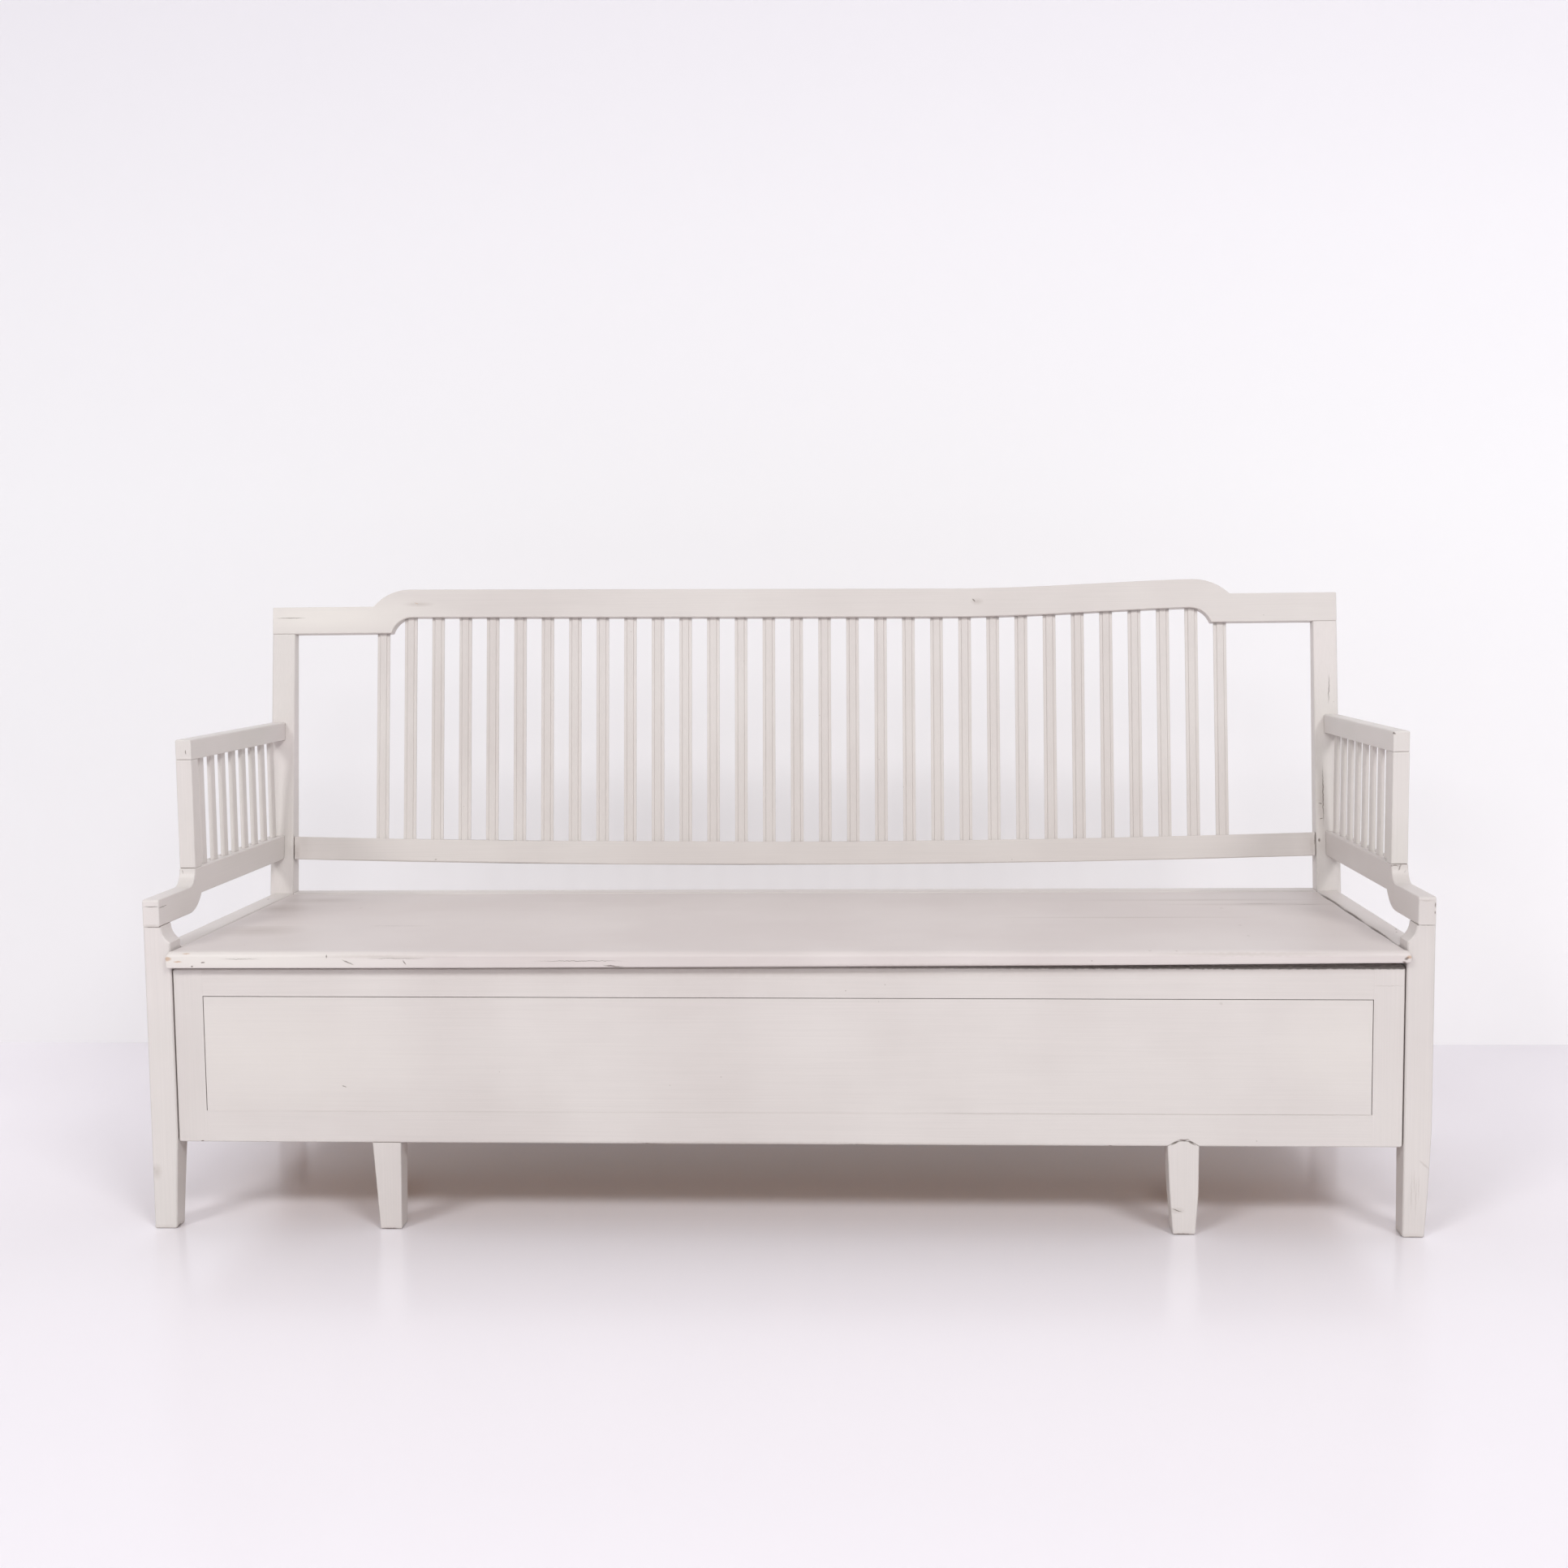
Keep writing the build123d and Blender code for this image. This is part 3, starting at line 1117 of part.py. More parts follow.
# Catches near the rear of the drawer's sides. Each meets its stop when the drawer
# is full out, a little past the end of its travel.
catch_front = y_drawer_rear - catch_setback - stop_length
drawer_travel = catch_front - y_stop - stop_length - catch_play
print("drawer travel, mm:", drawer_travel)
with BuildPart() as drawer_catches:
    for side in (-1, 1):
        with Locations((side * (drawer_side_outer + stop_reach / 2),
                        catch_front + stop_length / 2, stop_mid_z)):
            Box(stop_reach, stop_length, stop_height)
drawer_catches.part.label = "drawer_catches"
export_step(drawer_catches.part, "parts/drawer_catches.step")
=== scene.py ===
# %% [markdown]
# # A Swedish pull-out bench bed, painted pine
#
# The bench is a slatted sofa with a long seat box. Its lid swings up at the rear, and
# its front is a drawer on two legs of its own that pulls out to double the bed. All
# construction comes from the CAD frame, in metres: X to the right, Y to the back, Z up.
# This lesson gives that frame its looks: softened edges, old satin paint with its
# cracks and rubbed corners, bare pine inside, and the studio round it.

# %% Load the frame
import math

import bmesh
import bpy
from mathutils import Matrix, Vector


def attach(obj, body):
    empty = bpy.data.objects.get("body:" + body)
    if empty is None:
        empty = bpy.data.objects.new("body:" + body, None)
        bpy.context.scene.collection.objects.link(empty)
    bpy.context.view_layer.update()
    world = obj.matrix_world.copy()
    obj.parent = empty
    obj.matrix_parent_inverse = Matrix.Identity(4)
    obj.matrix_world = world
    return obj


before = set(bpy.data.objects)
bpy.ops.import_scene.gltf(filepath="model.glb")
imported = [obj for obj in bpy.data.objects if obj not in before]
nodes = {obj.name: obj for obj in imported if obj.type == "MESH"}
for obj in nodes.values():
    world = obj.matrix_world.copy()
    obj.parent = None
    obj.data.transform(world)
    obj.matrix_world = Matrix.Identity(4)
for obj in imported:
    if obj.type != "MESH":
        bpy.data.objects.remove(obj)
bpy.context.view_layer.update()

MM = 0.001

# %% [markdown]
# ## The camera
#
# A long bench needs a camera that stands well back, a little to the right of the
# middle and looking slightly down, so that the seat shows as a narrow band. The three
# angles build a rotation from the camera's own right, up and backward directions,
# which is easier to reason about than Euler angles: yaw turns, pitch tips, roll tilts.

# %% Place the camera
CAMERA_PLACE = Vector((0.17697, -3.21582, 0.94527))
CAMERA_YAW = -0.0572
CAMERA_PITCH = 0.0891
CAMERA_ROLL = -0.0109
CAMERA_LENS_MM = 44.304
SENSOR_WIDTH_MM = 36

forward = Vector((math.sin(CAMERA_YAW) * math.cos(CAMERA_PITCH),
                  math.cos(CAMERA_YAW) * math.cos(CAMERA_PITCH),
                  -math.sin(CAMERA_PITCH)))
level_right = Vector((math.cos(CAMERA_YAW), -math.sin(CAMERA_YAW), 0))
level_up = level_right.cross(forward)
right = math.cos(CAMERA_ROLL) * level_right + math.sin(CAMERA_ROLL) * level_up
up = math.cos(CAMERA_ROLL) * level_up - math.sin(CAMERA_ROLL) * level_right

camera_data = bpy.data.cameras.new("camera")
camera_data.lens = CAMERA_LENS_MM
camera_data.sensor_width = SENSOR_WIDTH_MM
camera = bpy.data.objects.new("camera", camera_data)
bpy.context.collection.objects.link(camera)
turn = Matrix((right, up, -forward)).transposed()
camera.matrix_world = Matrix.Translation(CAMERA_PLACE) @ turn.to_4x4()
bpy.context.scene.camera = camera
print("camera", tuple(round(v, 3) for v in camera.location), "lens", camera_data.lens)

# %% [markdown]
# ## Helpers for materials
#
# Paint is chosen as a hex colour, as on a colour card, which is sRGB. Shaders count in
# linear light, so one function turns the first into the second. Another adds a node with
# its settings and links, which keeps a long recipe readable: each line says what the
# node is and what goes into it, and its name says what it is for. The last starts an
# empty material.

# %% Colour and node helpers
def linear(hex_colour):
    """'#RRGGBB' in sRGB to linear RGBA."""
    values = []
    for start in (1, 3, 5):
        part = int(hex_colour[start:start + 2], 16) / 255
        values.append(part / 12.92 if part <= 0.04045 else ((part + 0.055) / 1.055) ** 2.4)
    return (*values, 1)


def add(tree, kind, inputs=None, **settings):
    """A new node with settings; inputs by name or number are values or sockets."""
    made = tree.nodes.new(kind)
    for name, value in settings.items():
        setattr(made, name, value)
    for key, value in (inputs or {}).items():
        if isinstance(value, bpy.types.NodeSocket):
            tree.links.new(value, made.inputs[key])
        else:
            made.inputs[key].default_value = value
    return made


# A Mix node keeps one set of sockets per kind of data; these are its colour ones.
MIX_FACTOR, MIX_FIRST, MIX_SECOND, MIX_RESULT = 0, 6, 7, 2


def new_material(name):
    """An empty node material with its Principled shader, wired to the output."""
    material = bpy.data.materials.new(name)
    material.use_nodes = True
    tree = material.node_tree
    tree.nodes.clear()
    shader = add(tree, "ShaderNodeBsdfPrincipled")
    add(tree, "ShaderNodeOutputMaterial", {"Surface": shader.outputs["BSDF"]})
    return material, tree, shader


print("white is", tuple(round(v, 3) for v in linear("#FFFFFF")))

# %% [markdown]
# ## Floor and wall
#
# The studio has a painted floor with a soft shine and a plain wall close behind the
# bench. Both are one flat plane each, made from a bmesh grid. The wall is clear from
# behind, so that the rear of the bench can be looked at too.
#
# The wall is nearly white and dead matt. A share of plain colour, brightest as high as
# the back and to the right, stands in for lamps that wash the wall alone. The rest is
# ordinary paint, which keeps a faint shadow of the back.

# %% Floor and wall
WALL_Y = 0.95
STAGE_HALF_WIDTH = 7
FLOOR_FRONT = -6
WALL_HEIGHT = 6
WALL_SHOWN = 0.45            # the share of plain colour
WASH_TOP = 2.5               # height at which the colour steps below end
WALL_STEPS = ((0.0, "#F7F3F5"), (0.25, "#F9F6F8"), (0.6, "#F9F7F9"), (1.2, "#FBFAFC"),
              (1.75, "#F3F0F5"), (2.25, "#E3DEE7"))
WASH_REACH = 2.0             # the wash changes from left to right as far as this
WASH_LEFT, WASH_RIGHT = 0.91, 1.09


def flat_plane(name, corner, across, along):
    """A rectangle from one corner and two edge vectors."""
    mesh = bpy.data.meshes.new(name)
    work = bmesh.new()
    bmesh.ops.create_grid(work, x_segments=1, y_segments=1, size=0.5)
    columns = Matrix((across, along, across.cross(along).normalized())).transposed()
    bmesh.ops.transform(work, matrix=columns.to_4x4(), verts=work.verts)
    bmesh.ops.translate(work, vec=corner + (across + along) / 2, verts=work.verts)
    work.to_mesh(mesh)
    work.free()
    made = bpy.data.objects.new(name, mesh)
    bpy.context.collection.objects.link(made)
    return made


floor_corner = Vector((-STAGE_HALF_WIDTH, FLOOR_FRONT, 0))
wall_corner = Vector((-STAGE_HALF_WIDTH, WALL_Y, 0))
stage_width = Vector((2 * STAGE_HALF_WIDTH, 0, 0))
floor = flat_plane("floor", floor_corner, stage_width, Vector((0, WALL_Y - FLOOR_FRONT, 0)))
wall = flat_plane("wall", wall_corner, stage_width, Vector((0, 0, WALL_HEIGHT)))


def height_ramp(tree, top, steps):
    """A colour that changes with height, from (metres, hex colour) steps, and X beside it."""
    place = add(tree, "ShaderNodeTexCoord").outputs["Object"]
    split = add(tree, "ShaderNodeSeparateXYZ", {0: place})
    share = add(tree, "ShaderNodeMath", {0: split.outputs["Z"], 1: top}, operation="DIVIDE")
    ramp = add(tree, "ShaderNodeValToRGB", {"Fac": share.outputs[0]})
    while len(ramp.color_ramp.elements) < len(steps):
        ramp.color_ramp.elements.new(0.5)
    for element, (height, colour) in zip(ramp.color_ramp.elements, steps):
        element.position = height / top
        element.color = linear(colour)
    return ramp.outputs["Color"], split.outputs["X"]


def shown_to_camera(tree, shader, colour, share):
    """Adds a share of plain colour to a lit surface, for the eye and reflections only."""
    path = add(tree, "ShaderNodeLightPath")
    seen = add(tree, "ShaderNodeMath", {
        0: path.outputs["Is Camera Ray"], 1: path.outputs["Is Glossy Ray"]},
        operation="MAXIMUM")
    seen = add(tree, "ShaderNodeMath", {
        0: seen.outputs[0], 1: path.outputs["Is Transmission Ray"]}, operation="MAXIMUM")
    factor = add(tree, "ShaderNodeMath", {0: seen.outputs[0], 1: share}, operation="MULTIPLY")
    plain = add(tree, "ShaderNodeEmission", {"Color": colour, "Strength": 1.0})
    return add(tree, "ShaderNodeMixShader", {
        0: factor.outputs[0], 1: shader.outputs["BSDF"], 2: plain.outputs[0]}).outputs[0]


# Floor paint: a cool off-white, glossy enough to mirror the legs softly.
material, tree, shader = new_material("studio floor paint")
shader.inputs["Base Color"].default_value = linear("#F8F4F9")
shader.inputs["Roughness"].default_value = 0.20
shader.inputs["Specular IOR Level"].default_value = 0.2
floor.data.materials.append(material)

# Wall emulsion, with the wash mixed in and the rear face made clear.
material, tree, shader = new_material("studio wall emulsion")
shader.inputs["Base Color"].default_value = linear("#F4F2F5")
shader.inputs["Roughness"].default_value = 0.95
shader.inputs["Specular IOR Level"].default_value = 0.1
upright, sideways = height_ramp(tree, WASH_TOP, WALL_STEPS)
across = add(tree, "ShaderNodeMapRange", {
    "Value": sideways, "From Min": -WASH_REACH, "From Max": WASH_REACH,
    "To Min": WASH_LEFT, "To Max": WASH_RIGHT})
washed = add(tree, "ShaderNodeVectorMath", {0: upright, "Scale": across.outputs[0]},
             operation="SCALE")
lit = shown_to_camera(tree, shader, washed.outputs[0], WALL_SHOWN)
face = add(tree, "ShaderNodeNewGeometry")
clear = add(tree, "ShaderNodeBsdfTransparent")
from_behind = add(tree, "ShaderNodeMixShader", {
    0: face.outputs["Backfacing"], 1: lit, 2: clear.outputs["BSDF"]})
output = next(n for n in tree.nodes if n.type == "OUTPUT_MATERIAL")
tree.links.new(from_behind.outputs["Shader"], output.inputs["Surface"])
wall.data.materials.append(material)
print("wall stands at", WALL_Y)

# %% [markdown]
# ## Light
#
# The light of a furniture studio: two soft boxes high in front, a lower and weaker one
# near the middle, and an even glow from all round, which is the world. The high lamps
# make the seat's nose shade the drawer, and give each leg two soft shadows that spread
# towards the rear. The low one prints a faint shadow of the slats on the wall.

# %% Soft boxes and the world
# Each lamp: its place, the point that it is turned to, width, height and watts.
SOFT_BOXES = {
    "left soft box": ((-5.5, -8.4, 7.4), (0, 0.6, 0.6), 3.1, 2.0, 372),
    "right soft box": ((5.0, -8.4, 7.4), (0, 0.6, 0.6), 3.1, 2.0, 420),
    "low soft box": ((0.4, -7.4, 3.8), (0, 0.6, 0.9), 1.7, 1.7, 78),
}
WORLD_COLOUR = "#FBF9FB"
WORLD_STRENGTH = 0.42


def soft_box(name, place, target, width, height, watts):
    """A rectangular lamp at a place, turned to a target."""
    data = bpy.data.lights.new(name, "AREA")
    data.shape = "RECTANGLE"
    data.size = width
    data.size_y = height
    data.energy = watts
    lamp = bpy.data.objects.new(name, data)
    lamp.location = place
    lamp.rotation_mode = "QUATERNION"
    lamp.rotation_quaternion = (Vector(target) - Vector(place)).to_track_quat("-Z", "Y")
    bpy.context.collection.objects.link(lamp)


for name, settings in SOFT_BOXES.items():
    soft_box(name, *settings)
world = bpy.data.worlds.new("studio glow")
world.use_nodes = True
glow = world.node_tree.nodes["Background"]
glow.inputs["Color"].default_value = linear(WORLD_COLOUR)
glow.inputs["Strength"].default_value = WORLD_STRENGTH
bpy.context.scene.world = world
bpy.context.scene.view_settings.view_transform = "Standard"

# %% [markdown]
# ## Softened edges
#
# Planed wood has no knife edge, and layers of paint round it further. The frame's
# meshes may not be edited, so modifiers do it: Weld joins the loose triangles,
# Decimate turns flat groups of them back into whole faces, and Bevel then has clean
# edges to round. A small geometry node group shades the round strips smooth, and
# Weighted Normal keeps the wide faces flat beside them. The frame of the drawer's front
# and two boards of the lid get a hair of rounding only, because paint has closed the
# joints between them.

# %% Round every edge with modifiers
EDGE_ROUND = 1.0 * MM
FINE_EDGE_ROUND = 0.5 * MM
CLOSED_JOINT_ROUND = 0.12 * MM
WELD_DISTANCE = 0.01 * MM
FLAT_ANGLE = math.radians(0.5)       # triangles this near to one plane are one face
SHARP_ANGLE = math.radians(30)       # an edge sharper than this is rounded
SMOOTH_ANGLE = math.radians(32)      # an edge gentler than this is shaded smooth
ROUND_SEGMENTS = 2

smooth_group = bpy.data.node_groups.new("smooth shading", "GeometryNodeTree")
smooth_group.interface.new_socket("Geometry", in_out="INPUT", socket_type="NodeSocketGeometry")
smooth_group.interface.new_socket("Geometry", in_out="OUTPUT", socket_type="NodeSocketGeometry")
entry = add(smooth_group, "NodeGroupInput")
edge_angle = add(smooth_group, "GeometryNodeInputMeshEdgeAngle")
gentle = add(smooth_group, "FunctionNodeCompare", {
    0: edge_angle.outputs["Unsigned Angle"], 1: SMOOTH_ANGLE}, operation="LESS_THAN")
all_faces = add(smooth_group, "GeometryNodeSetShadeSmooth", {
    "Geometry": entry.outputs[0], "Shade Smooth": True}, domain="FACE")
gentle_edges = add(smooth_group, "GeometryNodeSetShadeSmooth", {
    "Geometry": all_faces.outputs[0], "Shade Smooth": gentle.outputs[0]}, domain="EDGE")
add(smooth_group, "NodeGroupOutput", {0: gentle_edges.outputs[0]})


def soften(piece, radius):
    """Rounds the sharp edges of a CAD node and shades it smooth, by modifiers only."""
    weld = piece.modifiers.new("join triangles", "WELD")
    weld.merge_threshold = WELD_DISTANCE
    flats = piece.modifiers.new("whole faces", "DECIMATE")
    flats.decimate_type = "DISSOLVE"
    flats.angle_limit = FLAT_ANGLE
    rounding = piece.modifiers.new("round edges", "BEVEL")
    rounding.width = radius
    rounding.segments = ROUND_SEGMENTS
    rounding.limit_method = "ANGLE"
    rounding.angle_limit = SHARP_ANGLE
    rounding.harden_normals = False
    rounding.use_clamp_overlap = True
    shading = piece.modifiers.new("smooth shading", "NODES")
    shading.node_group = smooth_group
    flatness = piece.modifiers.new("flat faces stay flat", "WEIGHTED_NORMAL")
    flatness.keep_sharp = True


FINE_PIECES = ("back_slats", "arm_slats_left", "arm_slats_right", "drawer_panel",
               "lid_pivot_pins", "runner_screws", "drawer_leg_right")
CLOSED_JOINTS = ("drawer_top_rail", "drawer_bottom_rail", "drawer_stile_left",
                 "drawer_stile_right", "lid_board_middle", "lid_board_rear")
for name, piece in nodes.items():
    if name in CLOSED_JOINTS:
        soften(piece, CLOSED_JOINT_ROUND)
    else:
        soften(piece, FINE_EDGE_ROUND if name in FINE_PIECES else EDGE_ROUND)
print("softened", len(nodes), "pieces")

# %% [markdown]
# ## Paint in the lower groove
#
# The panel lies in a frame with a hair of a groove all round it. Paint ran down and
# settled in the lower one, so that only a faint line is left there, and none at the
# left end. Three thin closed bars fill it, each from a start to an end and set back
# behind the wood by so much: the first is flush, the last leaves the deepest line.

# %% Fill the lower groove
DRAWER_FACE = -342.6 * MM
GROOVE_LOW, GROOVE_HIGH = 185.4 * MM, 186.5 * MM
GROOVE_BACK = DRAWER_FACE + 0.9 * MM
GROOVE_END = 887.3                   # the groove's half length, in millimetres
# Each bar, in millimetres: start, end, set back by.
GROOVE_FILL = ((-GROOVE_END, -730.0, 0.03), (-730.0, 250.0, 0.35), (250.0, GROOVE_END, 0.6))

mesh = bpy.data.meshes.new("groove_paint")
work = bmesh.new()
for start, end, back in GROOVE_FILL:
    front = DRAWER_FACE + back * MM
    size = Vector(((end - start) * MM, GROOVE_BACK - front, GROOVE_HIGH - GROOVE_LOW))
    middle = Vector(((start + end) / 2 * MM, (front + GROOVE_BACK) / 2,
                     (GROOVE_LOW + GROOVE_HIGH) / 2))
    bmesh.ops.create_cube(work, size=1, matrix=Matrix.LocRotScale(middle, None, size))
work.to_mesh(mesh)
work.free()
groove_paint = bpy.data.objects.new("groove_paint", mesh)
bpy.context.collection.objects.link(groove_paint)
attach(groove_paint, "bed_drawer")
print("groove paint:", len(mesh.polygons), "faces")

# %% [markdown]
# ## Marks of wear, and painted light and shade
#
# Old furniture is worn in places, not all over: a nose rubbed to the wood at its ends,
# a split along an edge, a scratch. Painted light and shade go on the same way: painted
# shade under the seat's nose on the drawer, and painted light as paler patches at the
# ends of the nose, the crest and the drawer's panel. Each mark is an ellipsoid in space,
# so it needs only a place, three reaches and sometimes a turn. A spherical gradient in
# coordinates that a noise has pushed about gives it a ragged outline, and the strongest
# of one kind's marks at a point wins.

# %% Marks
def mark(tree, place, centre, reach, turn=(0, 0, 0)):
    """1 at the middle of an ellipsoid and 0 outside it; sizes in millimetres."""
    local = add(tree, "ShaderNodeMapping", {
        "Vector": place, "Location": [v * MM for v in centre],
        "Rotation": [math.radians(v) for v in turn],
        "Scale": [v * MM for v in reach]}, vector_type="TEXTURE")
    return add(tree, "ShaderNodeTexGradient", {"Vector": local.outputs[0]},
               gradient_type="SPHERICAL").outputs["Fac"]


def strongest(tree, place, marks):
    """The strongest of several marks at each point."""
    held = None
    for entry in marks:
        one = mark(tree, place, *entry)
        if held is not None:
            one = add(tree, "ShaderNodeMath", {0: held, 1: one},
                      operation="MAXIMUM").outputs[0]
        held = one
    return held


def ragged(tree, place, patch, amount):
    """Coordinates pushed about by a noise, so that shapes placed on them turn ragged."""
    noise = add(tree, "ShaderNodeTexNoise", {"Vector": place, "Scale": 1 / patch, "Detail": 3.0})
    centred = add(tree, "ShaderNodeVectorMath", {0: noise.outputs["Color"], 1: (0.5, 0.5, 0.5)},
                  operation="SUBTRACT")
    return add(tree, "ShaderNodeVectorMath", {
        0: centred.outputs[0], 1: (2 * amount,) * 3, 2: place},
        operation="MULTIPLY_ADD").outputs[0]
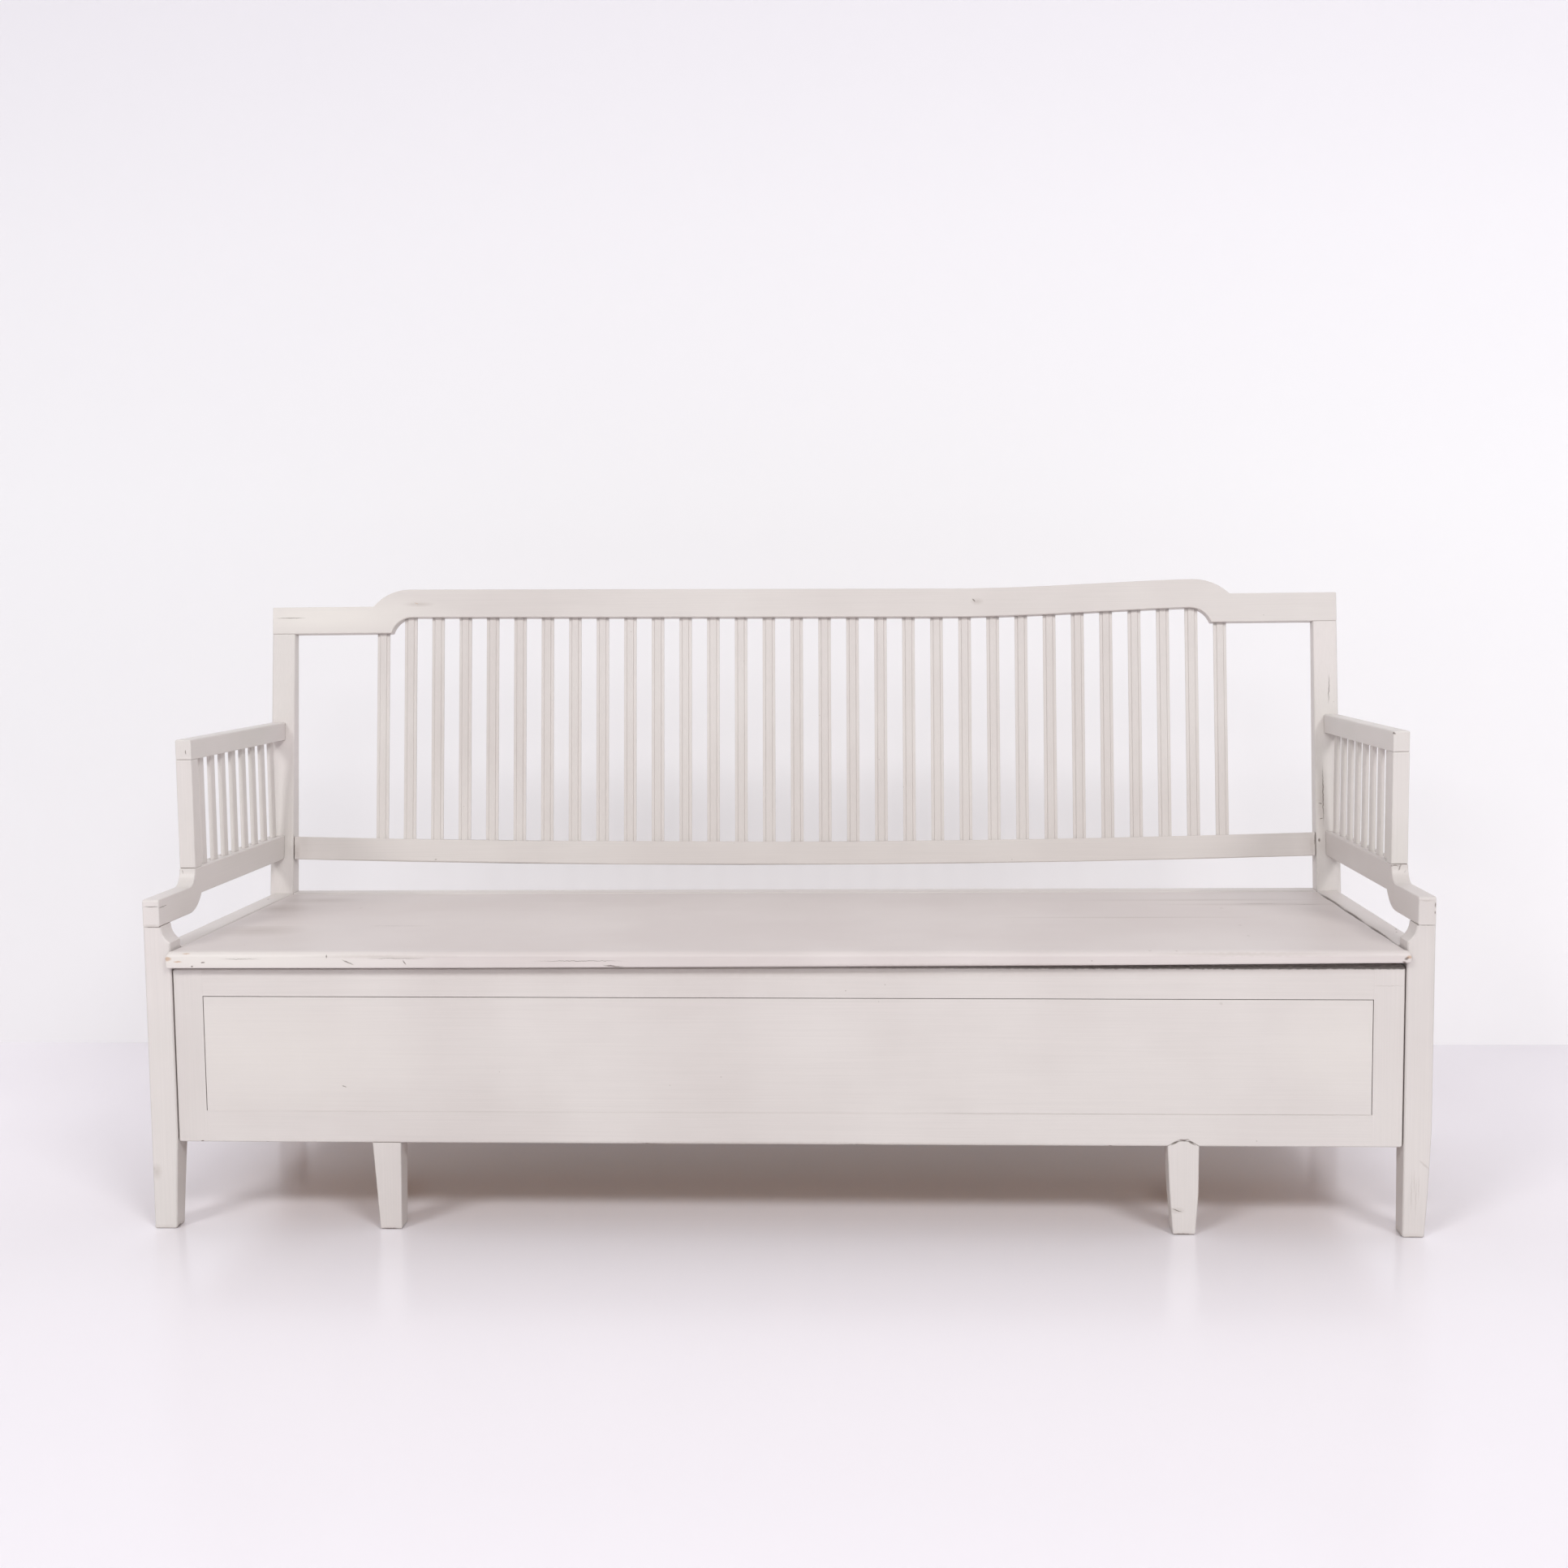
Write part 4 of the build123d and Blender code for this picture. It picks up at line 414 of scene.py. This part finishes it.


# Every mark: centre, reach and turn, in millimetres and degrees. Where a mark is "pale"
# the paint is lighter, which is painted light where more light falls on an end. A scuff is
# rubbed dull, but the long band on the drawer's top rail is painted shade; "bare" has lost
# its paint; the near-black kind under the seat's nose is painted shade; "split" is an open
# crack.
# Painted shade: the seat's nose shades the drawer's upper edge, near black at the right end.
NOSE_SHADE_PLACE = ((850, -343, 409.5), (1000, 12, 3.8))    # on the drawer, under the seat's nose
WEAR_AND_PAINTED_LIGHT = {
    "lid_board_front": {
        "split": [((-654, -357, 421), (13, 7, 1.3), (0, 24, 0)),
                  ((-567, -357, 421), (6, 7, 1.3), (0, 58, 0)),
                  ((-577, -357, 427), (60, 7, 0.5)), ((-820, -357, 426), (40, 7, 0.4)),
                  ((-687, -356, 430), (1.6, 7, 4)), ((-248, -357, 415), (20, 7, 1.6), (0, 5, 0)),
                  ((-300, -357, 423), (90, 7, 0.6)), ((-879, -358, 421), (4, 5, 1.6)),
                  ((-896, -358, 415), (2.4, 5, 2.2)), ((-660, -114, 437), (34, 1.3, 3)),
                  ((-620, -115, 437), (45, 0.7, 3)), ((930, -358, 426), (5, 6, 3), (0, -30, 0)),
                  ((927, -358, 420), (4, 6, 2), (0, 20, 0)),
                  ((929.5, -170, 436), (3.4, 70, 8)), ((930, -290, 436), (3.0, 45, 8)),
                  ((929.5, -90, 436), (2.4, 26, 8))],
        "bare": [((-934, -359, 426), (11, 12, 6)), ((-918, -359, 422), (12, 8, 3)),
                 ((934, -359, 428), (8, 8, 4)), ((-905, -358, 434), (12, 5, 2))],
        # Painted light: a paler patch at the left end of the nose.
        "pale": [((-860, -358, 424), (380, 24, 22))],
        "scuff_and_shade": [((-600, -358, 430), (140, 8, 4)), ((300, -359, 416), (400, 8, 3)),
                  ((-860, -160, 437), (90, 70, 4)), ((700, -358, 432), (200, 8, 4)),
                  ((-869, -122, 437), (4, 6, 4)), ((729, -121, 437), (5, 8, 4)),
                  ((724, -222, 437), (4, 9, 4)), ((556, -350, 437), (4, 6, 5)),
                  ((595, -352, 437), (3, 5, 5))]},
    "lid_board_middle": {
        "split": [((929.5, 20, 436), (4.2, 85, 8)), ((929.5, -60, 436), (3.6, 60, 8)),
                  ((800, 108, 437), (46, 2.0, 3)), ((880, 96, 437), (30, 1.6, 3))],
        "scuff_and_shade": [((-904, 71, 437), (70, 60, 4)), ((790, 100, 437), (190, 20, 6)),
                  ((729, 57, 437), (5, 9, 4)), ((-755, 78, 437), (4, 8, 4)),
                  ((560, -40, 437), (240, 12, 3))]},
    "lid_board_rear": {
        "split": [((929.5, 170, 436), (4.6, 60, 8))],
        "scuff_and_shade": [((700, 150, 437), (240, 16, 6)), ((-850, 170, 437), (80, 40, 6))]},
    "front_post_left": {
        "split": [((-938, -338, 2), (10, 12, 3)), ((-955, -347, 474), (30, 5, 1.5)),
                  ((-934, -325, 474), (4, 34, 3))],
        "scuff_and_shade": [((-955, -330, 0), (40, 40, 9)), ((-968, -346, 90), (10, 5, 16)),
                  ((-972, -347, 95), (5, 4, 6))]},
    "front_post_right": {
        "split": [((950, -330, 1), (25, 22, 3)), ((955, -347, 474), (30, 5, 1.2))],
        "scuff_and_shade": [((950, -330, 0), (40, 40, 9)),
                  ((965, -347, 111), (15, 4, 2.4), (0, 41, 0)),
                  ((946, -347, 70), (1.2, 4, 40)), ((950, -347, 84), (1.2, 4, 26)),
                  ((953, -347, 62), (1.2, 4, 36)), ((957, -347, 76), (1.0, 4, 24))]},
    "arm_low_rail_left": {
        "split": [((-960, -347, 505), (16, 4, 0.9)), ((-949, -330, 503), (3, 22, 0.9)),
                  ((-969, -186, 537), (1.1, 4, 5), (0, -20, 0)),
                  ((-965, -186, 530), (1.1, 4, 6), (0, -45, 0))],
        "scuff_and_shade": [((-962, -347, 475), (20, 8, 4))]},
    "arm_low_rail_right": {
        "split": [((973, -347, 504), (1.2, 5, 5)), ((973, -347, 493), (1.2, 5, 3)),
                  ((961, -186, 537), (2.0, 5, 10), (0, 20, 0)),
                  ((966, -187, 528), (2.0, 5, 11), (0, 35, 0)),
                  ((955, -186, 541), (14, 5, 1.1))],
        "scuff_and_shade": [((960, -347, 510), (14, 5, 2))]},
    "arm_top_rail_left": {"split": [((-958, -186, 731), (1, 4, 5))]},
    "arm_top_rail_right": {"split": [((949, -186, 748), (6, 5, 2), (0, 30, 0))]},
    "rear_post_right": {
        "split": [((945.5, 281, 607), (1.1, 5, 66), (-7.9, 0, 0)),
                  ((940, 279, 592), (4, 6, 1.2), (0, 20, 0)),
                  ((938, 269, 527), (3, 5, 5)), ((959, 307, 795), (0.9, 5, 34), (-7.9, 2, 0)),
                  ((942, 276, 565), (4, 6, 1.2), (0, -15, 0))],
        "scuff_and_shade": [((942, 280, 600), (9, 8, 70), (-7.9, 0, 0))]},
    "crest_rail": {
        "split": [((-941, 328, 943), (34, 5, 0.8)), ((324, 330, 962), (5, 5, 1.6), (0, 45, 0))],
        # Painted light: a paler patch at the left end of the crest.
        "pale": [((-880, 328, 945), (260, 50, 50))],
        "bare": [((-705, 331, 968), (6, 5, 1.2), (0, 12, 0))],
        "scuff_and_shade": [((-700, 331, 966), (34, 6, 6)), ((330, 330, 960), (14, 6, 8))]},
    "back_middle_rail": {
        "split": [((-666, 264, 498), (4, 6, 2)), ((-870, 264, 497), (4, 6, 2)),
                  ((-930.5, 266, 518), (1.8, 8, 26)), ((929.5, 268, 529), (2.6, 8, 15))],
        "scuff_and_shade": [((-925, 268, 516), (7, 8, 24)), ((925, 268, 520), (6, 8, 24))]},
    "back_slats": {"split": [((-761, 273, 550), (5, 6, 2))]},
    "side_rail_left": {"split": [((-955, 186, 437), (2.5, 6, 3))],
                       "scuff_and_shade": [((-934, 0, 436), (3, 240, 5))]},
    "side_rail_right": {
        "split": [((964, -163, 437), (2, 5, 3)), ((958, -190, 437), (2, 4, 3)),
                  ((950, -270, 437), (3, 6, 3)), ((932, 130, 436), (3.4, 110, 8)),
                  ((932, -20, 436), (3.0, 90, 8)), ((932, -190, 436), (2.6, 90, 8))],
        "scuff_and_shade": [((934, 0, 436), (4, 240, 6))]},
    "drawer_panel": {
        "split": [((-670, -343, 225), (5, 3, 0.9), (0, 30, 0))],
        # Painted light: paler patches at both ends of the panel.
        "pale": [((-780, -403, 280), (330, 100, 150)), ((850, -403, 290), (160, 100, 120))],
        "scuff_and_shade": [((663, -343, 355), (4, 4, 3), (0, 30, 0))]},
    "drawer_top_rail": {
        # Painted shade of the seat's nose, along the drawer's upper edge.
        "painted_nose_shade": [NOSE_SHADE_PLACE],
        # A long band of painted shade below it, which widens the nose's shadow down the rail.
        "scuff_and_shade": [((-100, -343, 404), (1200, 6, 10))]},
    "drawer_stile_right": {
        # Painted shade of the seat's nose here too.
        "painted_nose_shade": [NOSE_SHADE_PLACE],
        "scuff_and_shade": [((908, -343, 382), (34, 3, 1.2))]},
    "drawer_stile_left": {"split": [((-896, -342, 138), (4, 4, 1.6))]},
    "drawer_bottom_rail": {
        "split": [((-793, -342, 137), (4, 4, 1.4)), ((500, -342, 137), (5, 4, 1.2)),
                  ((608.7, -343, 147), (12, 5, 1.6)), ((595, -343, 142.5), (9, 5, 1.9), (0, -32, 0)),
                  ((622, -343, 142.5), (9, 5, 1.9), (0, 32, 0)), ((-200, -342, 137), (30, 4, 1.0)),
                  ((120, -342, 137), (40, 4, 0.9))],
        "scuff_and_shade": [((0, -343, 139), (850, 4, 3))]},
    "drawer_leg_left": {
        "split": [((-605, -343, 1), (18, 8, 2.2))], "scuff_and_shade": [((-606, -330, 0), (30, 40, 8))]},
    "drawer_leg_right": {
        "split": [((608.7, -343, 146), (12, 5, 1.6)), ((596, -343, 142), (9, 5, 1.9), (0, -32, 0)),
                  ((621, -343, 142), (9, 5, 1.9), (0, 32, 0)),
                  ((600, -343, 38), (10, 4, 1.1), (0, 18, 0)), ((608, -343, 1), (24, 8, 2.4)),
                  ((631, -343, 140), (2.5, 4, 3))],
        "scuff_and_shade": [((608, -330, 0), (30, 40, 8)), ((600, -343, 38), (14, 5, 6))]},
}
print("marked pieces:", len(WEAR_AND_PAINTED_LIGHT))

# %% [markdown]
# ## Old satin paint on pine
#
# Alkyd paint, brushed on in several coats along each board. Four things show it: fine
# ridges from the bristles, which run with the grain; a colour that drifts a little from
# patch to patch; a few specks of grit under the film; and a darker colour in the joints
# and creases, found by ambient occlusion, which is dirt where the film has cracked and
# painted shade as well. The patterns sit on Object coordinates, and the bristles and rings
# are stretched along the grain, so one recipe serves boards that lie along X, Y or Z.
# A board with marks of its own gets its own copy of the recipe.

# %% Painted pine
BRISTLE_PITCH = 1.8 * MM             # between two ridges of a brush stroke
STROKE_LENGTH = 160 * MM
STROKE_TONE = 0.975, 1.02            # how far a stroke darkens and lightens the coat
STROKE_RELIEF = 0.08 * MM
GRAIN_PITCH = 7 * MM                 # growth rings that print through the paint
GRAIN_LENGTH = 420 * MM
RING_RELIEF = 0.12 * MM
NOISE_LOW, NOISE_HIGH = 0.3, 0.7     # most of a noise lies between these values
SATIN_ROUGHNESS = 0.36, 0.5

COAT_PATCH = 380 * MM                # size of the patches in which the colour drifts
COAT_STOPS = 0.38, 0.62              # where the drift passes from one coat to the other
GREY_COATS = "#D3CCC8", "#DAD4D0"    # most boards
LID_COATS = "#D4CBC8", "#DBD3D0"     # the seat lid, a little pinker
PALE_COATS = "#D8D3CE", "#DFD8D5"    # the pieces named below
# The left front post and left low arm rail are here while their right twins are not: painted light
# from the left.
PALE_COAT_AND_PAINTED_LIGHT_PIECES = ("front_post_left", "rear_post_left", "rear_post_right", "arm_low_rail_left",
               "arm_top_rail_left", "arm_top_rail_right", "arm_stile_left",
               "arm_stile_right", "arm_slats_left", "arm_slats_right")

# The seam colour is dirt in the joints and painted shade in creases, both found by ambient
# occlusion.
SEAM_REACH = 3.5 * MM                # how far dirt creeps out of a joint
SEAM_OPEN, SEAM_SHUT = 0.62, 0.1     # openness at which dirt begins, and is thickest
SEAM_DIRT_AND_SHADE = 0.85
SEAM_COLOUR = "#83766E"
SPECK_PITCH = 46 * MM                # one speck of grit, at most, in each cell this size
SPECK_SIZE = 1.1 * MM
SPECK_SHARE = 0.45                   # how much of its own colour a speck shows
SPECK_COLOUR = "#9A8F88"

RAGGED_PATCH = 7 * MM                # size of the dents in a mark's outline
RAGGED_AMOUNT = 1.6 * MM             # and how far they reach
SPLIT_DEPTH = 0.6 * MM
# For each kind of mark: where on the mask it begins and is full, its share and colour.
# They are laid on in this order.
MARK_LOOKS = {
    # Painted light: a soft lighter patch where more light falls.
    "pale": (0.0, 0.8, 0.85, "#E6E1DB"),
    # Scuffs are rubbed dull; one long band on the drawer's top rail is painted shade.
    "scuff_and_shade": (0.02, 0.6, 0.42, "#A09389"),
    "bare": (0.16, 0.34, 0.75, "#C4A284"),
    # Painted shade, near black, under the seat's nose.
    "painted_nose_shade": (0.1, 0.6, 0.85, "#463C35"),
    "split": (0.1, 0.6, 0.8, "#6A5C53"),
}
STREAKED = ("scuff_and_shade", "bare")         # kinds that the brush strokes break up


def stretched(tree, place, grain, pitch, length):
    """Object coordinates scaled so that a noise of size 1 is a streak along the grain."""
    scale = [1 / pitch] * 3
    scale["XYZ".index(grain)] = 1 / length
    return add(tree, "ShaderNodeMapping", {"Vector": place, "Scale": scale}).outputs[0]


def mark_laid_on(tree, colour, mask, low, high, most, mark_colour):
    """Mixes a mark's colour in where a mask passes from low to high."""
    amount = add(tree, "ShaderNodeMapRange", {
        "Value": mask, "From Min": low, "From Max": high, "To Min": 0.0, "To Max": most})
    mixed = add(tree, "ShaderNodeMix", {
        MIX_FACTOR: amount.outputs["Result"], MIX_FIRST: colour, MIX_SECOND: mark_colour},
        data_type="RGBA")
    return mixed.outputs[MIX_RESULT], amount.outputs["Result"]


def painted_pine(name, grain, coats, wear_and_painted_light=()):
    """Satin alkyd paint on a pine board whose grain runs along X, Y or Z."""
    material, tree, shader = new_material(name)
    place = add(tree, "ShaderNodeTexCoord").outputs["Object"]
    drift = add(tree, "ShaderNodeTexNoise", {
        "Vector": place, "Scale": 1 / COAT_PATCH, "Detail": 3.0, "Roughness": 0.55})
    strokes = add(tree, "ShaderNodeTexNoise", {
        "Vector": stretched(tree, place, grain, BRISTLE_PITCH, STROKE_LENGTH),
        "Scale": 1.0, "Detail": 4.0, "Roughness": 0.6})
    rings = add(tree, "ShaderNodeTexNoise", {
        "Vector": stretched(tree, place, grain, GRAIN_PITCH, GRAIN_LENGTH),
        "Scale": 1.0, "Detail": 2.0, "Distortion": 0.4})
    coat = add(tree, "ShaderNodeValToRGB", {"Fac": drift.outputs["Fac"]})
    for element, stop, hue in zip(coat.color_ramp.elements, COAT_STOPS, coats):
        element.position = stop
        element.color = linear(hue)
    worked = add(tree, "ShaderNodeMapRange", {
        "Value": strokes.outputs["Fac"], "From Min": NOISE_LOW, "From Max": NOISE_HIGH,
        "To Min": STROKE_TONE[0], "To Max": STROKE_TONE[1]})
    brushed = add(tree, "ShaderNodeVectorMath", {
        0: coat.outputs["Color"], "Scale": worked.outputs["Result"]}, operation="SCALE")
    # Dirt and painted shade: ambient occlusion darkens the joints and every crease where shade
    # falls.
    seam = add(tree, "ShaderNodeAmbientOcclusion", {"Distance": SEAM_REACH}, samples=8)
    dirt_and_shade = add(tree, "ShaderNodeMapRange", {
        "Value": seam.outputs["AO"], "From Min": SEAM_SHUT, "From Max": SEAM_OPEN,
        "To Min": SEAM_DIRT_AND_SHADE, "To Max": 0.0})
    dirtied_and_shaded = add(tree, "ShaderNodeMix", {
        MIX_FACTOR: dirt_and_shade.outputs["Result"], MIX_FIRST: brushed.outputs[0],
        MIX_SECOND: linear(SEAM_COLOUR)}, data_type="RGBA")
    cell = add(tree, "ShaderNodeTexVoronoi", {"Vector": place, "Scale": 1 / SPECK_PITCH})
    near = add(tree, "ShaderNodeMath", {
        0: cell.outputs["Distance"], 1: SPECK_SIZE / SPECK_PITCH}, operation="LESS_THAN")
    speck = add(tree, "ShaderNodeMath", {0: near.outputs[0], 1: SPECK_SHARE},
                operation="MULTIPLY")
    colour = add(tree, "ShaderNodeMix", {
        MIX_FACTOR: speck.outputs[0], MIX_FIRST: dirtied_and_shaded.outputs[MIX_RESULT],
        MIX_SECOND: linear(SPECK_COLOUR)}, data_type="RGBA").outputs[MIX_RESULT]
    satin = add(tree, "ShaderNodeMapRange", {
        "Value": strokes.outputs["Fac"], "From Min": NOISE_LOW, "From Max": NOISE_HIGH,
        "To Min": SATIN_ROUGHNESS[0], "To Max": SATIN_ROUGHNESS[1]})
    ring_relief = add(tree, "ShaderNodeBump", {
        "Height": rings.outputs["Fac"], "Strength": 0.5, "Distance": RING_RELIEF})
    relief = add(tree, "ShaderNodeBump", {
        "Height": strokes.outputs["Fac"], "Strength": 0.6, "Distance": STROKE_RELIEF,
        "Normal": ring_relief.outputs["Normal"]})
    shine = satin.outputs["Result"]
    if wear_and_painted_light:
        edge = ragged(tree, place, RAGGED_PATCH, RAGGED_AMOUNT)
    for kind, (begins, full, share, hue) in MARK_LOOKS.items():
        if kind not in wear_and_painted_light:
            continue
        mask = strongest(tree, edge, wear_and_painted_light[kind])
        if kind in STREAKED:
            mask = add(tree, "ShaderNodeMath", {0: mask, 1: strokes.outputs["Fac"]},
                       operation="MULTIPLY").outputs[0]
        colour, amount = mark_laid_on(tree, colour, mask, begins, full, share, linear(hue))
        if kind == "bare":
            shine = add(tree, "ShaderNodeMath", {0: shine, 1: amount},
                        operation="MAXIMUM").outputs[0]
        if kind == "split":
            relief = add(tree, "ShaderNodeBump", {
                "Height": amount, "Strength": 0.8, "Distance": SPLIT_DEPTH,
                "Normal": relief.outputs["Normal"]}, invert=True)
    tree.links.new(colour, shader.inputs["Base Color"])
    tree.links.new(shine, shader.inputs["Roughness"])
    tree.links.new(relief.outputs["Normal"], shader.inputs["Normal"])
    return material


def coats_of(name):
    """Rear posts and arms paler, lid pinker; paler left front post and low rail are painted light.
    """
    if name in PALE_COAT_AND_PAINTED_LIGHT_PIECES:
        return PALE_COATS
    return LID_COATS if name.startswith("lid_board") else GREY_COATS


paint = {}
for axis in "XYZ":
    for coats, word in ((GREY_COATS, "grey"), (PALE_COATS, "pale")):
        paint[axis, coats] = painted_pine(word + " paint, grain along " + axis, axis, coats)
print("made", [m.name for m in paint.values()])

# %% [markdown]
# ## Bare pine
#
# The boards that nobody sees were planed and left bare, and have turned a light brown.
# Growth rings are the wood's own pattern: narrow darker lines along the board, made
# here by a noise stretched along it, over a finer one for the fibres. Each board is a
# loose island of the mesh, and gets a tone of its own.

# %% Bare pine
RING_PITCH = 11 * MM
RING_LENGTH = 600 * MM
FIBRE_PITCH = 0.9 * MM
FIBRE_LENGTH = 45 * MM
RING_STOPS = (0.36, "#AC8459"), (0.60, "#C4A077")    # late wood, early wood
FIBRE_TONE = 0.9, 1.07               # how far a fibre darkens and lightens the wood
FIBRE_RELIEF = 0.15 * MM
BOARD_TONE = 0.86, 1.08              # and how far the boards differ
PINE_ROUGHNESS = 0.72


def bare_pine(name, grain):
    """Planed, unpainted pine, darkened by age."""
    material, tree, shader = new_material(name)
    place = add(tree, "ShaderNodeTexCoord").outputs["Object"]
    rings = add(tree, "ShaderNodeTexNoise", {
        "Vector": stretched(tree, place, grain, RING_PITCH, RING_LENGTH),
        "Scale": 1.0, "Detail": 2.0, "Distortion": 0.8})
    fibres = add(tree, "ShaderNodeTexNoise", {
        "Vector": stretched(tree, place, grain, FIBRE_PITCH, FIBRE_LENGTH),
        "Scale": 1.0, "Detail": 3.0})
    wood = add(tree, "ShaderNodeValToRGB", {"Fac": rings.outputs["Fac"]})
    for element, (stop, hue) in zip(wood.color_ramp.elements, RING_STOPS):
        element.position = stop
        element.color = linear(hue)
    worked = add(tree, "ShaderNodeMapRange", {
        "Value": fibres.outputs["Fac"], "From Min": NOISE_LOW, "From Max": NOISE_HIGH,
        "To Min": FIBRE_TONE[0], "To Max": FIBRE_TONE[1]})
    board = add(tree, "ShaderNodeNewGeometry")
    own_tone = add(tree, "ShaderNodeMapRange", {
        "Value": board.outputs["Random Per Island"],
        "To Min": BOARD_TONE[0], "To Max": BOARD_TONE[1]})
    strength = add(tree, "ShaderNodeMath", {
        0: worked.outputs["Result"], 1: own_tone.outputs["Result"]}, operation="MULTIPLY")
    tinted = add(tree, "ShaderNodeVectorMath", {
        0: wood.outputs["Color"], "Scale": strength.outputs[0]}, operation="SCALE")
    tree.links.new(tinted.outputs[0], shader.inputs["Base Color"])
    shader.inputs["Roughness"].default_value = PINE_ROUGHNESS
    relief = add(tree, "ShaderNodeBump", {
        "Height": fibres.outputs["Fac"], "Strength": 0.5, "Distance": FIBRE_RELIEF})
    tree.links.new(relief.outputs["Normal"], shader.inputs["Normal"])
    return material


pine = {axis: bare_pine("bare pine, grain along " + axis, axis) for axis in "XYZ"}
print("made", [m.name for m in pine.values()])

# %% [markdown]
# ## Steel
#
# Pins and screws are drawn steel that has dulled: a metal with a fine blotchy tarnish.

# %% Dulled steel
TARNISH_PATCH = 3 * MM
steel, tree, shader = new_material("dulled drawn steel")
place = add(tree, "ShaderNodeTexCoord").outputs["Object"]
tarnish = add(tree, "ShaderNodeTexNoise", {"Vector": place, "Scale": 1 / TARNISH_PATCH})
tone = add(tree, "ShaderNodeValToRGB", {"Fac": tarnish.outputs["Fac"]})
tone.color_ramp.elements[0].color = linear("#6A625B")
tone.color_ramp.elements[1].color = linear("#A8A39C")
tree.links.new(tone.outputs["Color"], shader.inputs["Base Color"])
shader.inputs["Metallic"].default_value = 1.0
shader.inputs["Roughness"].default_value = 0.45
print("made", steel.name)

# %% [markdown]
# ## Which board gets which finish
#
# Each board takes the paint or the bare wood whose grain runs along it. Three lists say
# the direction of the grain, and one names the boards that were left bare.

# %% Hand out the finishes
GRAIN = {
    "X": ("crest_rail", "back_middle_rail", "rear_seat_rail", "rear_boards", "rear_bottom_rail",
          "lid_board_front", "lid_board_middle", "lid_board_rear", "drawer_top_rail",
          "drawer_bottom_rail", "drawer_panel", "drawer_back", "drawer_bottom_boards"),
    "Y": ("arm_low_rail_left", "arm_low_rail_right", "arm_top_rail_left",
          "arm_top_rail_right", "side_rail_left", "side_rail_right", "side_board_left",
          "side_board_right", "drawer_runner_left", "drawer_runner_right", "frame_stops",
          "lid_battens", "drawer_side_left", "drawer_side_right", "drawer_bearers",
          "drawer_catches"),
    "Z": ("front_post_left", "front_post_right", "rear_post_left", "rear_post_right",
          "back_slats", "arm_slats_left", "arm_slats_right", "arm_stile_left",
          "arm_stile_right", "drawer_stile_left", "drawer_stile_right",
          "drawer_leg_left", "drawer_leg_right"),
}
BARE = ("rear_boards", "rear_bottom_rail", "drawer_back", "drawer_bottom_boards",
        "drawer_runner_left", "drawer_runner_right", "frame_stops", "lid_battens",
        "drawer_side_left", "drawer_side_right", "drawer_bearers", "drawer_catches")


def finish_with(piece, material):
    """Puts one material in every slot of a piece."""
    for slot in piece.material_slots:
        slot.link = "OBJECT"
        slot.material = material


for axis, names in GRAIN.items():
    for name in names:
        if name in WEAR_AND_PAINTED_LIGHT:
            finish_with(nodes[name], painted_pine(
                "marked paint, " + name, axis, coats_of(name), WEAR_AND_PAINTED_LIGHT[name]))
        elif name in BARE:
            finish_with(nodes[name], pine[axis])
        else:
            finish_with(nodes[name], paint[axis, coats_of(name)])
for name in ("lid_pivot_pins", "runner_screws"):
    finish_with(nodes[name], steel)
groove_paint.data.materials.append(paint["X", GREY_COATS])
print("finished", len(nodes), "pieces")
